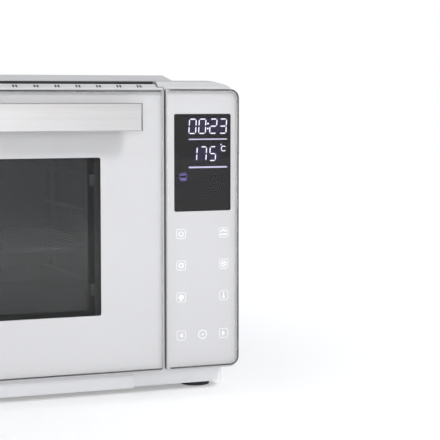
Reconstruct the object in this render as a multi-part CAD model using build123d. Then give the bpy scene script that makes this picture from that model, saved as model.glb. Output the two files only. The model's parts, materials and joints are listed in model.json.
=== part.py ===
from build123d import *
import math
import os

# Electric countertop oven with steam: a drop-down glass door, a touch control column at the right,
# a drip tray under the door and a water tank behind the column.
# X runs to the right, Y to the rear and Z up from the worktop. While the pieces are modelled,
# Y is measured from the front face of the door glass. The last step moves the whole oven back
# by the same distance, so that the origin lies under the middle of its footprint.

# Whole oven
width = 490
body_depth = 392
front_bottom = 27.5
panel_height = 293
casing_rise = 9
emboss_height = 5.5
foot_height = 5
handle_reach = 29
buffer_length = 12

# Clearances, and how far a cutting shape runs past what it cuts
seat = 0.2
running = 0.3
past = 1

# Front panels
glass = 4
mask = 0.4
mask_gap = 0.2
glass_edge = 0.9
pane_corner = 1.2
trim_gap = 0.5
trim_width = 1.8
trim_proud = 0.2
trim_round = 0.8
corner_radius = 9.5
seam_radius = 2.2
panel_width = 82.7
door_panel_gap = 1.3
door_drop = 1

# Bezel behind the glass: a lip, then a slope up to the casing
lip_rise = 2.2
lip_drop = 2
lip_depth = 22
lip_foot = 13
step_run = 8
control_step_drop = 1.2
door_step_drop = 3.9

# Shoulder of the casing
shoulder_small = 9
shoulder_large = 50
shoulder_sweep = 20

# Door
door_wall = 3
door_flange = 2
door_frame_back = 30
pan_sheet = 1.2
pan_rim = 12
pan_proud = 2
pan_lift = 3.5
inner_glass = 4
inner_glass_overlap = 9
window_side = 68.3
window_bottom = 88
window_height = 162.6
window_radius = 2
window_inset_side = 9
window_inset_bottom = 1.5
vent_pairs = 18
vent_pitch = 22.1
vent_first = 17.1
vent_width = 2.2
vent_pair_gap = 3.2
vent_margin = 0.8
clip_width = 12
clip_sheet = 1.2
clip_finger = 5
clip_foot = 8

# Handle
handle_thickness = 8.5
handle_height = 28
handle_bottom = 278
handle_end_inset = 32.9
handle_end_bevel = 2.2
handle_edge_bevel = 0.8
post_radius = 6
post_inset = 24
handle_screw = 2
handle_hole_clearance = 1
handle_screw_depth = 14
handle_screw_head = 4
handle_screw_head_height = 2.2

# Door hinges
hinge_back = 11.5
hinge_rise = 14.5
hinge_inset = 18
lug = 5
lug_eye = 5.2
lug_side_clearance = 0.8
pin_radius = 3
pin_clearance = 0.05
boss = 5
bracket_width = 20
bracket_sheet = 2.5
bracket_height = 32

# Door striker and its switch
striker_sheet = 1.5
striker_reach = 18
striker_height = 10
striker_z = 298
striker_offset = 150
striker_slot_clearance = 4
switch_length = 22
switch_width = 8
switch_lever = 0.6
switch_lever_length = 10
switch_lever_height = 4

# Cabinet
door_clearance = 6
slot_depth = 4
frame_sheet = 1.5
frame_top = 314
frame_flange = 10
casing_sheet = 1
casing_bottom = 26
rear_sheet = 1.2
rear_flange = 12
base_sheet = 1.2
base_upstand = 13
emboss_side = 60
emboss_front = 2
emboss_rear = 14
emboss_bevel = 9
emboss_front_bevel = 5

# Plinth, tray and feet
plinth_inset = 4.5
plinth_wall = 3
plinth_rear_inset = 7
plinth_radius = 6
tray_inset = 24.5
tray_proud = 5
tray_fascia = 6.5
tray_bottom = 4.5
tray_top = 24
tray_roll = 5
tray_knee = 10
tray_end_gap = 0.7
trough_length = 81
trough_wall = 2
trough_top = 21
trough_side = 3
tray_flange = 3
guide_sheet = 1.5
foot_radius = 17
foot_taper = 1.5
foot_inset_x = 29
foot_inset_y = 21
foot_stem = 4
foot_stem_length = 3
foot_pad = 3

# Oven cavity
cavity_side = 39
cavity_floor = 72
cavity_height = 200
cavity_depth = 282.5
cavity_radius = 14
liner_sheet = 1.2
liner_flange = 8
insulation = 10
insulation_start = 10
insulation_end = 4
seal_width = 6
seal_inset = 4
seal_thickness = 3.7
rail_wire = 2.5
rail_levels = (108, 148, 188, 228)
rail_front = 22
rail_rear = 25
rail_foot = 12
rail_head = 10
rail_post_inset = 18
rack_level = 1
rack_frame = 3
rack_corner = 14
rack_wire = 1.5
rack_wires = 11
rack_front = 10
rack_rear = 14
pan_level = 0
pan_depth = 20
pan_side = 8
pan_draw = 5
pan_metal = 1
pan_corner = 16

# Convection fan, its heater and the grill
chamber_radius = 98
chamber_depth = 31
chamber_sheet = 1.2
chamber_flange = 8
baffle_radius = 95
baffle_depth = 8
baffle_sheet = 1.2
baffle_hole = 4.5
baffle_rings = ((0, 1), (18, 6), (36, 12))
baffle_slots = 12
baffle_slot_ring = 86
baffle_slot_length = 30
baffle_slot_width = 6
fan_radius = 68
fan_blades = 8
fan_blade_height = 18
fan_gap = 6
fan_disc_radius = 40
fan_disc = 1.5
fan_blade = 1.6
fan_hub = 8
fan_hub_start = 4
shaft_radius = 3
shaft_clearance = 0.05
motor_radius = 30
motor_length = 28
motor_gap = 3
motor_posts = 3
motor_post_radius = 3
motor_post_inset = 4
heater_ring = 82
heater_tube = 3.3
heater_terminal = 12
heater_end = 13
grill_drop = 10
grill_passes = 5
grill_pitch = 52
grill_bend = 12
grill_front = 30
grill_rear = 34

# Lamp, probe and steam inlet
lamp_radius = 18
lamp_y = 235
lamp_z = 238
lamp_wall = 1
lamp_cover = 3
lamp_lap = 2
bulb_radius = 8
nozzle_y = 300
nozzle_z = 110
nozzle_radius = 4
nozzle_inside = 4
nozzle_outside = 12
probe_y = 200
probe_z = 248
probe_radius = 2
probe_length = 30
probe_collar = 2
port_clearance = 3

# Cooling blower and exhaust duct
shelf_sheet = 1
shelf_gap = 0.5
blower_radius = 55
blower_height = 32
blower_x = -10
blower_y = 215
blower_wall = 1.5
blower_inlet = 37
rotor_radius = 46
rotor_height = 24
rotor_blades = 20
rotor_gap = 2
rotor_sheet = 1.5
rotor_ring = 2
rotor_blade = 1.2
rotor_blade_length = 10
rotor_hub = 2
blower_motor_radius = 22
duct_wall = 1.2
duct_shoulder = 19
duct_top_gap = 0.7
duct_narrow = 70
duct_neck = 6
duct_end = 158

# Right-hand compartment
partition_sheet = 1.2
partition_gap = 3
tank_side = 7
tank_width = 48
tank_front = 150
tank_length = 200
tank_floor = 170
tank_top = 316
tank_wall = 2
tank_radius = 8
lid_wall = 2.4
well_wall = 1.5
well_floor = 164
valve_radius = 7
valve_bore = 3
hose_radius = 4
stub_radius = 3
stub_length = 8
socket_length = 6
well_shelf = 80

# Supply board on the partition
supply_gap = 4
supply_front = 24
supply_length = 88
supply_bottom = 188
supply_height = 85
supply_corner = 6
relays = 3
relay_first = 14
relay_rise = 12
relay_pitch = 22
relay_size = 16
relay_height = 22
coil_rise = 42
coil_size = 30
coil_reach = 22
capacitor_inset = 24
capacitor_radius = 9
capacitor_length = 24

# Steam generator, pump and hoses
boiler_gap = 14
boiler_width = 40
boiler_front = -10
boiler_length = 90
boiler_lift = 18
boiler_height = 44
boiler_radius = 8
boiler_foot = 12
boiler_foot_side = 4
steam_stub_rise = 8
steam_stub_back = 20
pump_rise = 22
pump_front = 42
pump_length = 54
pump_radius = 12
coil_half_width = 16
coil_half_height = 14
coil_inset = 12
pump_foot_inset = 16
suction_rise = 66
suction_run = 30
suction_bend = 14
pressure_run = 20
pressure_bend = 9
steam_bend = 7

# Control column
display_left = 10.5
display_right = 8.6
display_bottom = 192.7
display_top = 294.6
key_column_left = 18
key_column_right = 66
key_rows = (169.4, 136.2, 102.6, 62.1)
key_pad = 5
key_hole = 5.3
key_corner = 2.2
housing_wall = 2.5
board = 1.6
control_board_depth = 24
standoff = 2.5
display_rim = 3
display_case = 8
board_corner = 1
board_drop = 10
driver_rows = 4
driver_first = 24
driver_pitch = 30
driver_left = 16
driver_width = 15
driver_length = 20
driver_height = 9
plug_rows = 3
plug_pitch = 40
plug_right = 22
plug_width = 8
plug_length = 28
plug_height = 6

# Rear panel
louvre_rows = 9
louvre_columns = 3
louvre_length = 46
louvre_height = 3.2
louvre_pitch = 11
louvre_side = 95
louvre_gap = 14
louvre_bottom = 118
gland_side = 55
gland_z = 60
gland_bore = 4.2
gland_thread = 8
gland_flange = 12
gland_inside = 5
gland_ring = 3
gland_taper = 1
gland_outside = 9
buffer_radius = 14
buffer_tip = 11
buffer_side = 65
buffer_stud = 4
buffer_z = 288
screw_radius = 1.7
screw_head = 3.8
screw_head_height = 2
screw_length = 8
rear_screw_heights = (58, 168, 278)

# Places that follow from the sizes above
half = width / 2
panel_top = front_bottom + panel_height
casing_top = panel_top + casing_rise
mask_front = glass + mask_gap
mask_back = mask_front + mask
lip_bottom = front_bottom - lip_drop
panel_left = half - panel_width
door_left = -half
door_right = panel_left - door_panel_gap
door_middle = (door_left + door_right) / 2
door_top = panel_top - door_drop
door_step_top = casing_top - door_step_drop
control_step_top = casing_top - control_step_drop
step_back = lip_depth + step_run
flange_back = mask_back + door_flange
pan_back = door_frame_back + pan_proud
cabinet_front = door_frame_back + door_clearance
frame_back = cabinet_front + frame_sheet
casing_front = cabinet_front + slot_depth
rear_front = body_depth - rear_sheet
flange_front = rear_front - casing_sheet
inner_half = half - casing_sheet - running
louvre_left = louvre_side - half
gland_x = half - gland_side
buffer_x = half - buffer_side
window_left = door_left + window_side
window_right = door_right - window_side
window_top = window_bottom + window_height
hinge_z = front_bottom + hinge_rise
hinge_places = (door_left + hinge_inset, door_right - hinge_inset)
notch_half = lug / 2 + lug_side_clearance
striker_x = door_middle + striker_offset
handle_left = door_left + handle_end_inset
handle_right = door_right - handle_end_inset
handle_middle_z = handle_bottom + handle_height / 2
handle_back = handle_thickness - handle_reach
post_places = (handle_left + post_inset, handle_right - post_inset)
base_top = casing_bottom + base_sheet
plinth_half = half - plinth_inset
plinth_back = body_depth - plinth_rear_inset
tray_left = door_left + tray_inset
tray_right = door_right - tray_inset
tray_front = cabinet_front - tray_proud
trough_bottom = foot_height + foot_pad + running
foot_places = [
    (side * (half - foot_inset_x), y)
    for side in (-1, 1)
    for y in (cabinet_front + foot_inset_y, plinth_back - foot_inset_y)
]
cavity_left = door_left + cavity_side
cavity_right = door_right - cavity_side
cavity_middle = (cavity_left + cavity_right) / 2
cavity_top = cavity_floor + cavity_height
cavity_centre_z = cavity_floor + cavity_height / 2
cavity_back = frame_back + cavity_depth
liner_back = cavity_back + liner_sheet
blanket_top = cavity_top + liner_sheet + insulation
rail_post_offset = rail_wire + running
rail_offset = rail_post_offset + 2 * rail_wire
rail_start = frame_back + rail_front
rail_end = cavity_back - rail_rear
chamber_back = liner_back + chamber_depth
fan_front = cavity_back + fan_gap
motor_front = chamber_back + motor_gap
heater_terminal_z = cavity_centre_z - math.sqrt(heater_ring**2 - heater_terminal**2)
shelf_bottom = blanket_top + shelf_gap
shelf_top = shelf_bottom + shelf_sheet
blower_top = shelf_top + blower_height
partition_left = cavity_right + liner_sheet + insulation + partition_gap
partition_right = partition_left + partition_sheet
tank_right = half - tank_side
tank_left = tank_right - tank_width
tank_back = tank_front + tank_length
tank_middle_x = (tank_left + tank_right) / 2
tank_middle_y = (tank_front + tank_back) / 2
key_places = [
    (panel_left + column, row)
    for row in key_rows
    for column in (key_column_left, key_column_right)
] + [(panel_left + (key_column_left + key_column_right) / 2, key_rows[-1])]
duct_left = -half + duct_shoulder
duct_bottom = frame_top + running
duct_top = casing_top - casing_sheet - duct_top_gap
rear_screw_x = half - casing_sheet - rear_flange / 2
rear_screw_places = [(side * rear_screw_x, z) for side in (-1, 1) for z in rear_screw_heights]
pump_x = tank_middle_x
pump_z = base_top + pump_rise
pump_start = frame_back + pump_front
pump_end = pump_start + pump_length
boiler_middle = partition_right + boiler_gap + boiler_width / 2
boiler_bottom = base_top + boiler_lift
boiler_top = boiler_bottom + boiler_height
boiler_start = tank_middle_y + boiler_front
boiler_inlet = (boiler_middle, boiler_start - stub_length, boiler_bottom + boiler_height / 2)
boiler_outlet = (boiler_middle, nozzle_y + steam_stub_back, boiler_top + steam_stub_rise)
origin_shift = (body_depth + buffer_length - handle_reach) / 2


# Helpers for drawing
def block(x0, x1, y0, y1, z0, z1):
    """A box given by its lowest and highest coordinates."""
    return Pos((x0 + x1) / 2, (y0 + y1) / 2, (z0 + z1) / 2) * Box(x1 - x0, y1 - y0, z1 - z0)


def panel(sketch, front, back):
    """A front view, drawn in x and z, made solid from front to back."""
    plane = Plane((0, front, 0), x_dir=(1, 0, 0), z_dir=(0, -1, 0))
    return extrude(plane * sketch, amount=front - back)


def plan(sketch, bottom, top):
    """A plan view, drawn in x and y, made solid from bottom to top."""
    return extrude(Pos(0, 0, bottom) * sketch, amount=top - bottom)


def profile(sketch, left, right):
    """A side view, drawn in y and z, made solid from left to right."""
    plane = Plane((left, 0, 0), x_dir=(0, 1, 0), z_dir=(1, 0, 0))
    return extrude(plane * sketch, amount=right - left)


def outline(*points):
    """A closed straight-sided face."""
    return make_face(Polyline(*points, close=True))


def round_rect(x0, x1, z0, z1, left_radius, right_radius=None):
    """A rectangle whose left and right corners may have different radii."""
    if right_radius is None:
        right_radius = left_radius
    shape = Pos((x0 + x1) / 2, (z0 + z1) / 2) * Rectangle(x1 - x0, z1 - z0)
    shape = fillet(shape.vertices().sort_by(Axis.X)[:2], left_radius)
    return fillet(shape.vertices().sort_by(Axis.X)[-2:], right_radius)


def disc(x, z, radius):
    """A circle in a front view."""
    return Pos(x, z) * Circle(radius)


def rod(start, end, radius):
    """A round bar between two points."""
    way = Vector(*end) - Vector(*start)
    place = Plane(origin=start, z_dir=way)
    return place * Cylinder(radius, way.length, align=(Align.CENTER, Align.CENTER, Align.MIN))


def tube(points, bend, radius):
    """A bar bent through the points, with one bend radius."""
    path = FilletPolyline(*points, radius=bend)
    return sweep(Plane(origin=path @ 0, z_dir=path % 0) * Circle(radius), path=path)


def group(pieces):
    """Several solids kept apart in one node."""
    return Compound([solid for piece in pieces for solid in piece.solids()])


def body_outline(top, bottom, inset=0):
    """The front view of the oven's body, with its compound shoulders."""
    small = shoulder_small - inset
    large = shoulder_large - inset
    side = half - inset
    steep = math.radians(90 - shoulder_sweep)
    knee = top - inset - small * math.sin(steep) - large * (1 - math.sin(steep))
    flank = Line((side, bottom), (side, knee))
    turn = JernArc(flank @ 1, flank % 1, small, 90 - shoulder_sweep)
    crown = JernArc(turn @ 1, turn % 1, large, shoulder_sweep)
    roof = Line(crown @ 1, (0, top - inset))
    rest = Polyline(roof @ 1, (0, bottom), flank @ 0)
    right_side = make_face(flank + turn + crown + roof + rest)
    return right_side + mirror(right_side, about=Plane.YZ)


def slope_cut(left, right, foot, top):
    """What is cut away above the bezel's slope."""
    return profile(outline((lip_depth, foot), (step_back, top), (lip_depth, top)), left, right)


# Door
def door_outline(inset):
    """The door's front, whose outer corners are the round ones."""
    outer = corner_radius - inset
    inner = max(seam_radius - inset, pane_corner)
    return round_rect(
        door_left + inset, door_right - inset, front_bottom + inset, door_top - inset, outer, inner
    )


def window_outline(grow):
    """The clear window in the printed mask."""
    return round_rect(
        window_left - grow, window_right + grow, window_bottom - grow, window_top + grow,
        window_radius,
    )


def inner_opening(grow):
    """The opening in the inner panel, a little smaller than the window."""
    return round_rect(
        window_left + window_inset_side - grow, window_right - window_inset_side + grow,
        window_bottom + window_inset_bottom - grow, window_top + grow, window_radius,
    )


def key_outline(x, z, reach):
    """The rounded square of one touch key."""
    return round_rect(x - reach, x + reach, z - reach, z + reach, key_corner)


def handle_holes(radius):
    """The two holes that the handle's screws pass through."""
    holes = [disc(x, handle_middle_z, radius) for x in post_places]
    return holes[0] + holes[1]


def hinge_notches():
    """Room for the hinge lugs, from where the door is shut to where it is open."""
    front = hinge_back - lug_eye - lug_side_clearance
    top = hinge_z + lug_eye + lug_side_clearance
    return [
        block(x - notch_half, x + notch_half, front, cabinet_front, lip_bottom - past, top)
        for x in hinge_places
    ]


def edge_trim(outside, inside):
    """The polished trim round a pane: a ring whose outer front edge is rounded."""
    solid = panel(outside, -trim_proud, mask_back)
    front = solid.faces().sort_by(Axis.Y)[0]
    solid = fillet(front.edges(), trim_round)
    return solid - panel(inside, -trim_proud - past, mask_back)


def pane(outside):
    """A toughened pane with a rounded front edge."""
    solid = panel(outside, 0, glass)
    front = solid.faces().sort_by(Axis.Y)[0]
    return fillet(front.edges(), glass_edge)


def make_door_trim():
    """The trim round the door glass, a groove's width inside the frame's lip."""
    return edge_trim(door_outline(trim_gap), door_outline(trim_width))


def make_door_glass():
    """The outer pane, drilled for the handle."""
    holes = panel(handle_holes(handle_screw + handle_hole_clearance), 0, glass)
    return pane(door_outline(trim_width + seat)) - holes


def make_door_mask():
    """The sheet with the light print behind the pane, open at the window."""
    sheet = door_outline(trim_width + seat) - window_outline(0)
    sheet -= handle_holes(handle_screw + handle_hole_clearance)
    return panel(sheet, mask_front, mask_back)


def vent_slots():
    """Pairs of slots that let air out of the top of the door."""
    slots = []
    for pair in range(vent_pairs):
        right = door_right - vent_first - pair * vent_pitch
        for x in (right, right - vent_pair_gap):
            slots.append(
                block(
                    x - vent_width / 2, x + vent_width / 2, lip_depth + vent_margin,
                    step_back - vent_margin, door_top - door_wall - past, door_step_top + past,
                )
            )
    return slots


def hinge_bosses():
    """Bearing blocks in the door, one on each side of each lug."""
    bosses = []
    for x in hinge_places:
        for side in (-1, 1):
            near = x + side * notch_half
            far = near + side * boss
            left = min(near, far)
            right = max(near, far)
            foot = block(
                left, right, flange_back - past, hinge_back + lug_eye, front_bottom + past, hinge_z
            )
            web = block(
                left, right, flange_back - past, hinge_back, hinge_z, hinge_z + lug_eye
            )
            eye = rod((left, hinge_back, hinge_z), (right, hinge_back, hinge_z), lug_eye)
            bosses.append(foot + web + eye)
    return bosses


def make_door_frame():
    """The moulded frame: lip, sloped step with vents, walls, flange and hinge bosses."""
    lip_top = door_top + lip_rise
    border = round_rect(door_left, door_right, lip_bottom, casing_top, corner_radius, seam_radius)
    lip = panel(body_outline(lip_top, lip_bottom) & border, mask_back, lip_depth)
    lip -= block(door_left, door_right, lip_foot, lip_depth, lip_bottom, front_bottom)
    border = round_rect(door_left, door_right, front_bottom, casing_top, corner_radius, seam_radius)
    step = panel(body_outline(door_step_top, front_bottom) & border, lip_depth, door_frame_back)
    frame = lip + step - slope_cut(door_left, door_right, lip_top, door_step_top)
    pocket = round_rect(
        door_left + door_wall, door_right - door_wall, front_bottom + door_wall,
        door_top - door_wall, corner_radius - door_wall, seam_radius,
    )
    frame -= panel(pocket, flange_back, door_frame_back)
    frame -= panel(window_outline(inner_glass), mask_back, flange_back)
    frame -= panel(handle_holes(handle_screw + seat), mask_back, flange_back)
    frame -= vent_slots()
    frame += hinge_bosses()
    frame -= hinge_notches()
    bores = [
        rod(
            (x - notch_half - boss, hinge_back, hinge_z),
            (x + notch_half + boss, hinge_back, hinge_z),
            pin_radius + pin_clearance,
        )
        for x in hinge_places
    ]
    return frame - bores


def make_door_inner_panel():
    """The pressed panel that faces the cavity, its rim inside the frame, with its striker."""
    rim = door_wall + seat

    def shape(inset):
        return round_rect(
            door_left + rim + inset, door_right - rim - inset, front_bottom + pan_lift + inset,
            door_top - rim - inset, corner_radius - rim - inset, seam_radius,
        )

    pan = panel(shape(0), pan_back - pan_rim, pan_back)
    pan -= panel(shape(pan_sheet), pan_back - pan_rim, pan_back - pan_sheet)
    pan -= panel(inner_opening(0), pan_back - pan_sheet, pan_back)
    return pan - hinge_notches() + door_striker()


def make_inner_glass():
    """The inner pane, behind the inner panel's opening."""
    back = pan_back - pan_sheet - seat
    return panel(inner_opening(inner_glass_overlap), back - inner_glass, back)


def make_glass_clips():
    """Four bent clips that hold the inner pane against the inner panel."""
    seat_y = pan_back - pan_sheet
    pane_front = seat_y - seat - inner_glass - seat
    left = window_left + window_inset_side - inner_glass_overlap
    right = window_right - window_inset_side + inner_glass_overlap
    clips = []
    for z in (window_bottom + 2 * clip_width, window_top - 2 * clip_width):
        for edge, side in ((left, -1), (right, 1)):
            inside = edge - side * clip_finger
            riser = edge + side * seat
            outside = riser + side * clip_foot
            finger = block(
                min(inside, riser), max(inside, riser), pane_front - clip_sheet, pane_front,
                z - clip_width / 2, z + clip_width / 2,
            )
            wall = block(
                min(riser, riser + side * clip_sheet), max(riser, riser + side * clip_sheet),
                pane_front - clip_sheet, seat_y, z - clip_width / 2, z + clip_width / 2,
            )
            foot = block(
                min(riser, outside), max(riser, outside), seat_y - clip_sheet, seat_y,
                z - clip_width / 2, z + clip_width / 2,
            )
            clips.append(finger + wall + foot)
    return group(clips)


def make_handle_bar():
    """A flat brushed bar with bevelled ends."""
    bar = block(
        handle_left, handle_right, -handle_reach, handle_back, handle_bottom,
        handle_bottom + handle_height,
    )
    face = bar.faces().sort_by(Axis.Y)[0]
    bar = chamfer(face.edges().filter_by(Axis.Z), handle_end_bevel)
    face = bar.faces().sort_by(Axis.Y)[0]
    return chamfer(face.edges().filter_by(Axis.X), handle_edge_bevel)


def make_handle_posts():
    """Two turned posts between the glass and the bar, tapped for the screws."""
    posts = []
    for x in post_places:
        post = rod((x, handle_back, handle_middle_z), (x, 0, handle_middle_z), post_radius)
        hole = rod(
            (x, -handle_screw_depth - past, handle_middle_z), (x, 0, handle_middle_z),
            handle_screw + seat / 2,
        )
        posts.append(post - hole)
    return group(posts)


def make_handle_screws():
    """Screws from inside the door, through the glass, into the posts."""
    screws = []
    for x in post_places:
        shank = rod(
            (x, -handle_screw_depth, handle_middle_z), (x, flange_back, handle_middle_z),
            handle_screw,
        )
        head_back = flange_back + handle_screw_head_height
        head = rod(
            (x, flange_back, handle_middle_z), (x, head_back, handle_middle_z), handle_screw_head
        )
        screws.append(shank + head)
    return group(screws)


def make_hinge_pins():
    """Pins held in the door's bosses, on which the door turns."""
    reach = notch_half + boss
    return group(
        rod((x - reach, hinge_back, hinge_z), (x + reach, hinge_back, hinge_z), pin_radius)
        for x in hinge_places
    )


def door_striker():
    """A bent tongue on the inner panel that enters the cabinet and works the door switch."""
    low = striker_z - striker_height / 2
    tongue = profile(
        outline(
            (pan_back, low), (pan_back + striker_reach, low + striker_height / 3),
            (pan_back + striker_reach, low + striker_height * 2 / 3),
            (pan_back, low + striker_height),
        ),
        striker_x - striker_sheet / 2, striker_x + striker_sheet / 2,
    )
    foot = block(
        striker_x - striker_height, striker_x + striker_sheet / 2, pan_back,
        pan_back + striker_sheet, low, low + striker_height,
    )
    return tongue + foot


# Cabinet
def cavity_outline(grow):
    """The rounded front view of the cavity."""
    return round_rect(
        cavity_left - grow, cavity_right + grow, cavity_floor - grow, cavity_top + grow,
        cavity_radius + grow,
    )


def make_hinge_brackets():
    """Each hinge: a lug through the front frame, on a plate behind it."""
    brackets = []
    for x in hinge_places:
        eye = rod((x - lug / 2, hinge_back, hinge_z), (x + lug / 2, hinge_back, hinge_z), lug_eye)
        arm = block(
            x - lug / 2, x + lug / 2, hinge_back, frame_back, hinge_z - lug_eye,
            hinge_z + lug_eye,
        )
        foot = block(
            x - bracket_width / 2, x + bracket_width / 2, frame_back, frame_back + bracket_sheet,
            hinge_z - lug_eye - running, hinge_z - lug_eye - running + bracket_height,
        )
        bore = rod(
            (x - lug, hinge_back, hinge_z), (x + lug, hinge_back, hinge_z),
            pin_radius + pin_clearance,
        )
        brackets.append(eye + arm + foot - bore)
    return group(brackets)


def frame_openings():
    """The openings in the front frame beside the cavity."""
    lug_slots = [
        round_rect(
            x - notch_half, x + notch_half, hinge_z - lug_eye - running,
            hinge_z + lug_eye + running, seat,
        )
        for x in hinge_places
    ]
    striker_slot = round_rect(
        striker_x - striker_sheet - seat, striker_x + striker_sheet + seat,
        striker_z - striker_height / 2 - striker_slot_clearance,
        striker_z + striker_height / 2 + striker_slot_clearance, seat,
    )
    wiring = round_rect(
        panel_left + 2 * housing_wall + standoff, half - 4 * housing_wall,
        key_rows[-1], display_bottom, corner_radius,
    )
    return lug_slots + [striker_slot, wiring]


def make_front_frame():
    """The welded front frame that everything at the front is fixed to."""
    edge = round_rect(-inner_half, inner_half, front_bottom, frame_top, corner_radius)
    face = edge - cavity_outline(0)
    for opening in frame_openings():
        face -= opening
    inside = round_rect(
        -inner_half + frame_sheet, inner_half - frame_sheet, front_bottom + frame_sheet,
        frame_top - frame_sheet, corner_radius - frame_sheet,
    )
    flange = panel(edge - inside, frame_back, frame_back + frame_flange)
    return panel(face, cabinet_front, frame_back) + flange


def make_base_pan():
    """The bottom sheet with its two folded sides."""
    end = flange_front - running
    sheet = block(-inner_half, inner_half, frame_back, end, casing_bottom, base_top)
    inner = inner_half - base_sheet
    for left, right in ((-inner_half, -inner), (inner, inner_half)):
        start = frame_back + frame_flange + running
        sheet += block(left, right, start, end, base_top, base_top + base_upstand)
    return sheet


def emboss(grow):
    """The raised field on the casing's top, with bevelled sides."""
    foot_left = -half + emboss_side + grow
    foot_front = casing_front + emboss_front + grow
    foot_back = rear_front - emboss_rear - grow
    foot = Pos(0, (foot_front + foot_back) / 2, casing_top - grow) * Rectangle(
        -2 * foot_left, foot_back - foot_front
    )
    front = foot_front + emboss_front_bevel
    back = foot_back - emboss_bevel
    top = Pos(0, (front + back) / 2, casing_top + emboss_height - grow) * Rectangle(
        -2 * (foot_left + emboss_bevel), back - front
    )
    return loft([foot, top], ruled=True)


def make_outer_casing():
    """The folded wrapper, raised on top, with a rear flange and the tank's opening."""
    skin = body_outline(casing_top, casing_bottom)
    hollow = body_outline(casing_top, casing_bottom, casing_sheet)
    casing = panel(skin - hollow, casing_front, rear_front)
    inner_flange = body_outline(
        casing_top - rear_flange, casing_bottom + rear_flange, casing_sheet + rear_flange / 4
    )
    narrow = round_rect(
        -half + casing_sheet + rear_flange, half - casing_sheet - rear_flange,
        casing_bottom, casing_top - casing_sheet - rear_flange, casing_sheet,
    )
    back = panel(hollow - (inner_flange & narrow) - narrow, flange_front, rear_front)
    casing += back
    casing += emboss(0)
    casing -= emboss(casing_sheet)
    lower = emboss(casing_sheet).faces().sort_by(Axis.Z)[0]
    casing -= extrude(lower, amount=casing_sheet, dir=(0, 0, -1))
    casing -= block(tank_left, tank_right, tank_front, tank_back, tank_top, casing_top + past)
    for x, z in rear_screw_places:
        start = flange_front - past
        casing -= rod((x, start, z), (x, rear_front + past, z), screw_radius + seat)
    return casing


def make_rear_panel():
    """The rear sheet with its cooling louvres, screw holes and gland hole."""
    sheet = body_outline(casing_top, casing_bottom)
    for x, z in rear_screw_places:
        sheet -= disc(x, z, screw_radius + seat)
    sheet -= disc(gland_x, gland_z, gland_thread + seat)
    for side in (-1, 1):
        sheet -= disc(side * buffer_x, buffer_z, screw_radius + seat)
    for column in range(louvre_columns):
        x = louvre_left + column * (louvre_length + louvre_gap)
        for row in range(louvre_rows):
            z = louvre_bottom + row * louvre_pitch
            sheet -= Pos(x + louvre_length / 2, z) * Rectangle(louvre_length, louvre_height)
    return panel(sheet, rear_front, body_depth)


def make_rear_buffers():
    """Two spacers that keep the oven off the wall, each with its own stud."""
    buffers = []
    for side in (-1, 1):
        x = side * buffer_x
        place = Plane((x, body_depth, buffer_z), x_dir=(1, 0, 0), z_dir=(0, 1, 0))
        cone = place * Cone(
            buffer_radius, buffer_tip, buffer_length,
            align=(Align.CENTER, Align.CENTER, Align.MIN),
        )
        stud = rod((x, rear_front - buffer_stud, buffer_z), (x, body_depth, buffer_z), screw_radius)
        buffers.append(cone + stud)
    return group(buffers)


def make_rear_screws():
    """Screws that hold the rear panel to the casing's flange."""
    screws = []
    for x, z in rear_screw_places:
        head_back = body_depth + screw_head_height
        shank = rod((x, body_depth - screw_length, z), (x, body_depth, z), screw_radius)
        screws.append(shank + rod((x, body_depth, z), (x, head_back, z), screw_head))
    return group(screws)


def make_cord_gland():
    """The gland for the supply lead: flange, thread and inside nut round one bore."""
    inside = rear_front - gland_inside
    outside = body_depth + gland_outside
    nut = panel(
        Pos(gland_x, gland_z) * RegularPolygon(gland_flange, 6), inside, rear_front
    )
    thread = rod((gland_x, inside, gland_z), (gland_x, outside, gland_z), gland_thread)
    ring_back = body_depth + gland_ring
    flange = rod((gland_x, body_depth, gland_z), (gland_x, ring_back, gland_z), gland_flange)
    dome_place = Plane((gland_x, ring_back, gland_z), x_dir=(1, 0, 0), z_dir=(0, 1, 0))
    dome = dome_place * Cone(
        gland_flange - gland_taper, gland_thread - gland_taper, outside - ring_back,
        align=(Align.CENTER, Align.CENTER, Align.MIN),
    )
    start = (gland_x, inside - past, gland_z)
    bore = rod(start, (gland_x, outside + past, gland_z), gland_bore)
    return nut + thread + flange + dome - bore


# Plinth, feet and drip tray
def make_plinth():
    """The skirt under the oven, open in front for the tray, with a pad over each foot."""
    middle_y = (cabinet_front + plinth_back) / 2
    length = plinth_back - cabinet_front
    outer = Pos(0, middle_y) * RectangleRounded(2 * plinth_half, length, plinth_radius)
    inner = Pos(0, middle_y) * RectangleRounded(
        2 * (plinth_half - plinth_wall), length - 2 * plinth_wall, plinth_radius - plinth_wall
    )
    skirt = plan(outer - inner, foot_height, casing_bottom)
    for x, y in foot_places:
        pad_side = 2 * (foot_radius + plinth_wall)
        pad = Pos(x, y) * RectangleRounded(pad_side, pad_side, foot_stem)
        side = math.copysign(1, x)
        reach = side * (plinth_half - plinth_wall / 2)
        tab = block(
            min(x, reach), max(x, reach), y - foot_radius, y + foot_radius, foot_height,
            foot_height + foot_pad,
        )
        skirt += plan(pad, foot_height, foot_height + foot_pad) + tab
        skirt -= rod(
            (x, y, foot_height - past), (x, y, foot_height + foot_pad + past), foot_stem + seat
        )
    gap_left = tray_left - tray_end_gap
    gap_right = tray_right + tray_end_gap
    skirt -= block(
        gap_left, gap_right, cabinet_front - past, cabinet_front + plinth_wall + past,
        foot_height - past, casing_bottom + past,
    )
    return skirt


def make_feet():
    """Four tapered rubber feet with push-in stems."""
    feet = []
    for x, y in foot_places:
        sole = Pos(x, y, foot_height / 2) * Cone(
            foot_radius - foot_taper, foot_radius, foot_height
        )
        stem_top = foot_height + foot_stem_length
        feet.append(sole + rod((x, y, foot_height), (x, y, stem_top), foot_stem))
    return group(feet)


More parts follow.
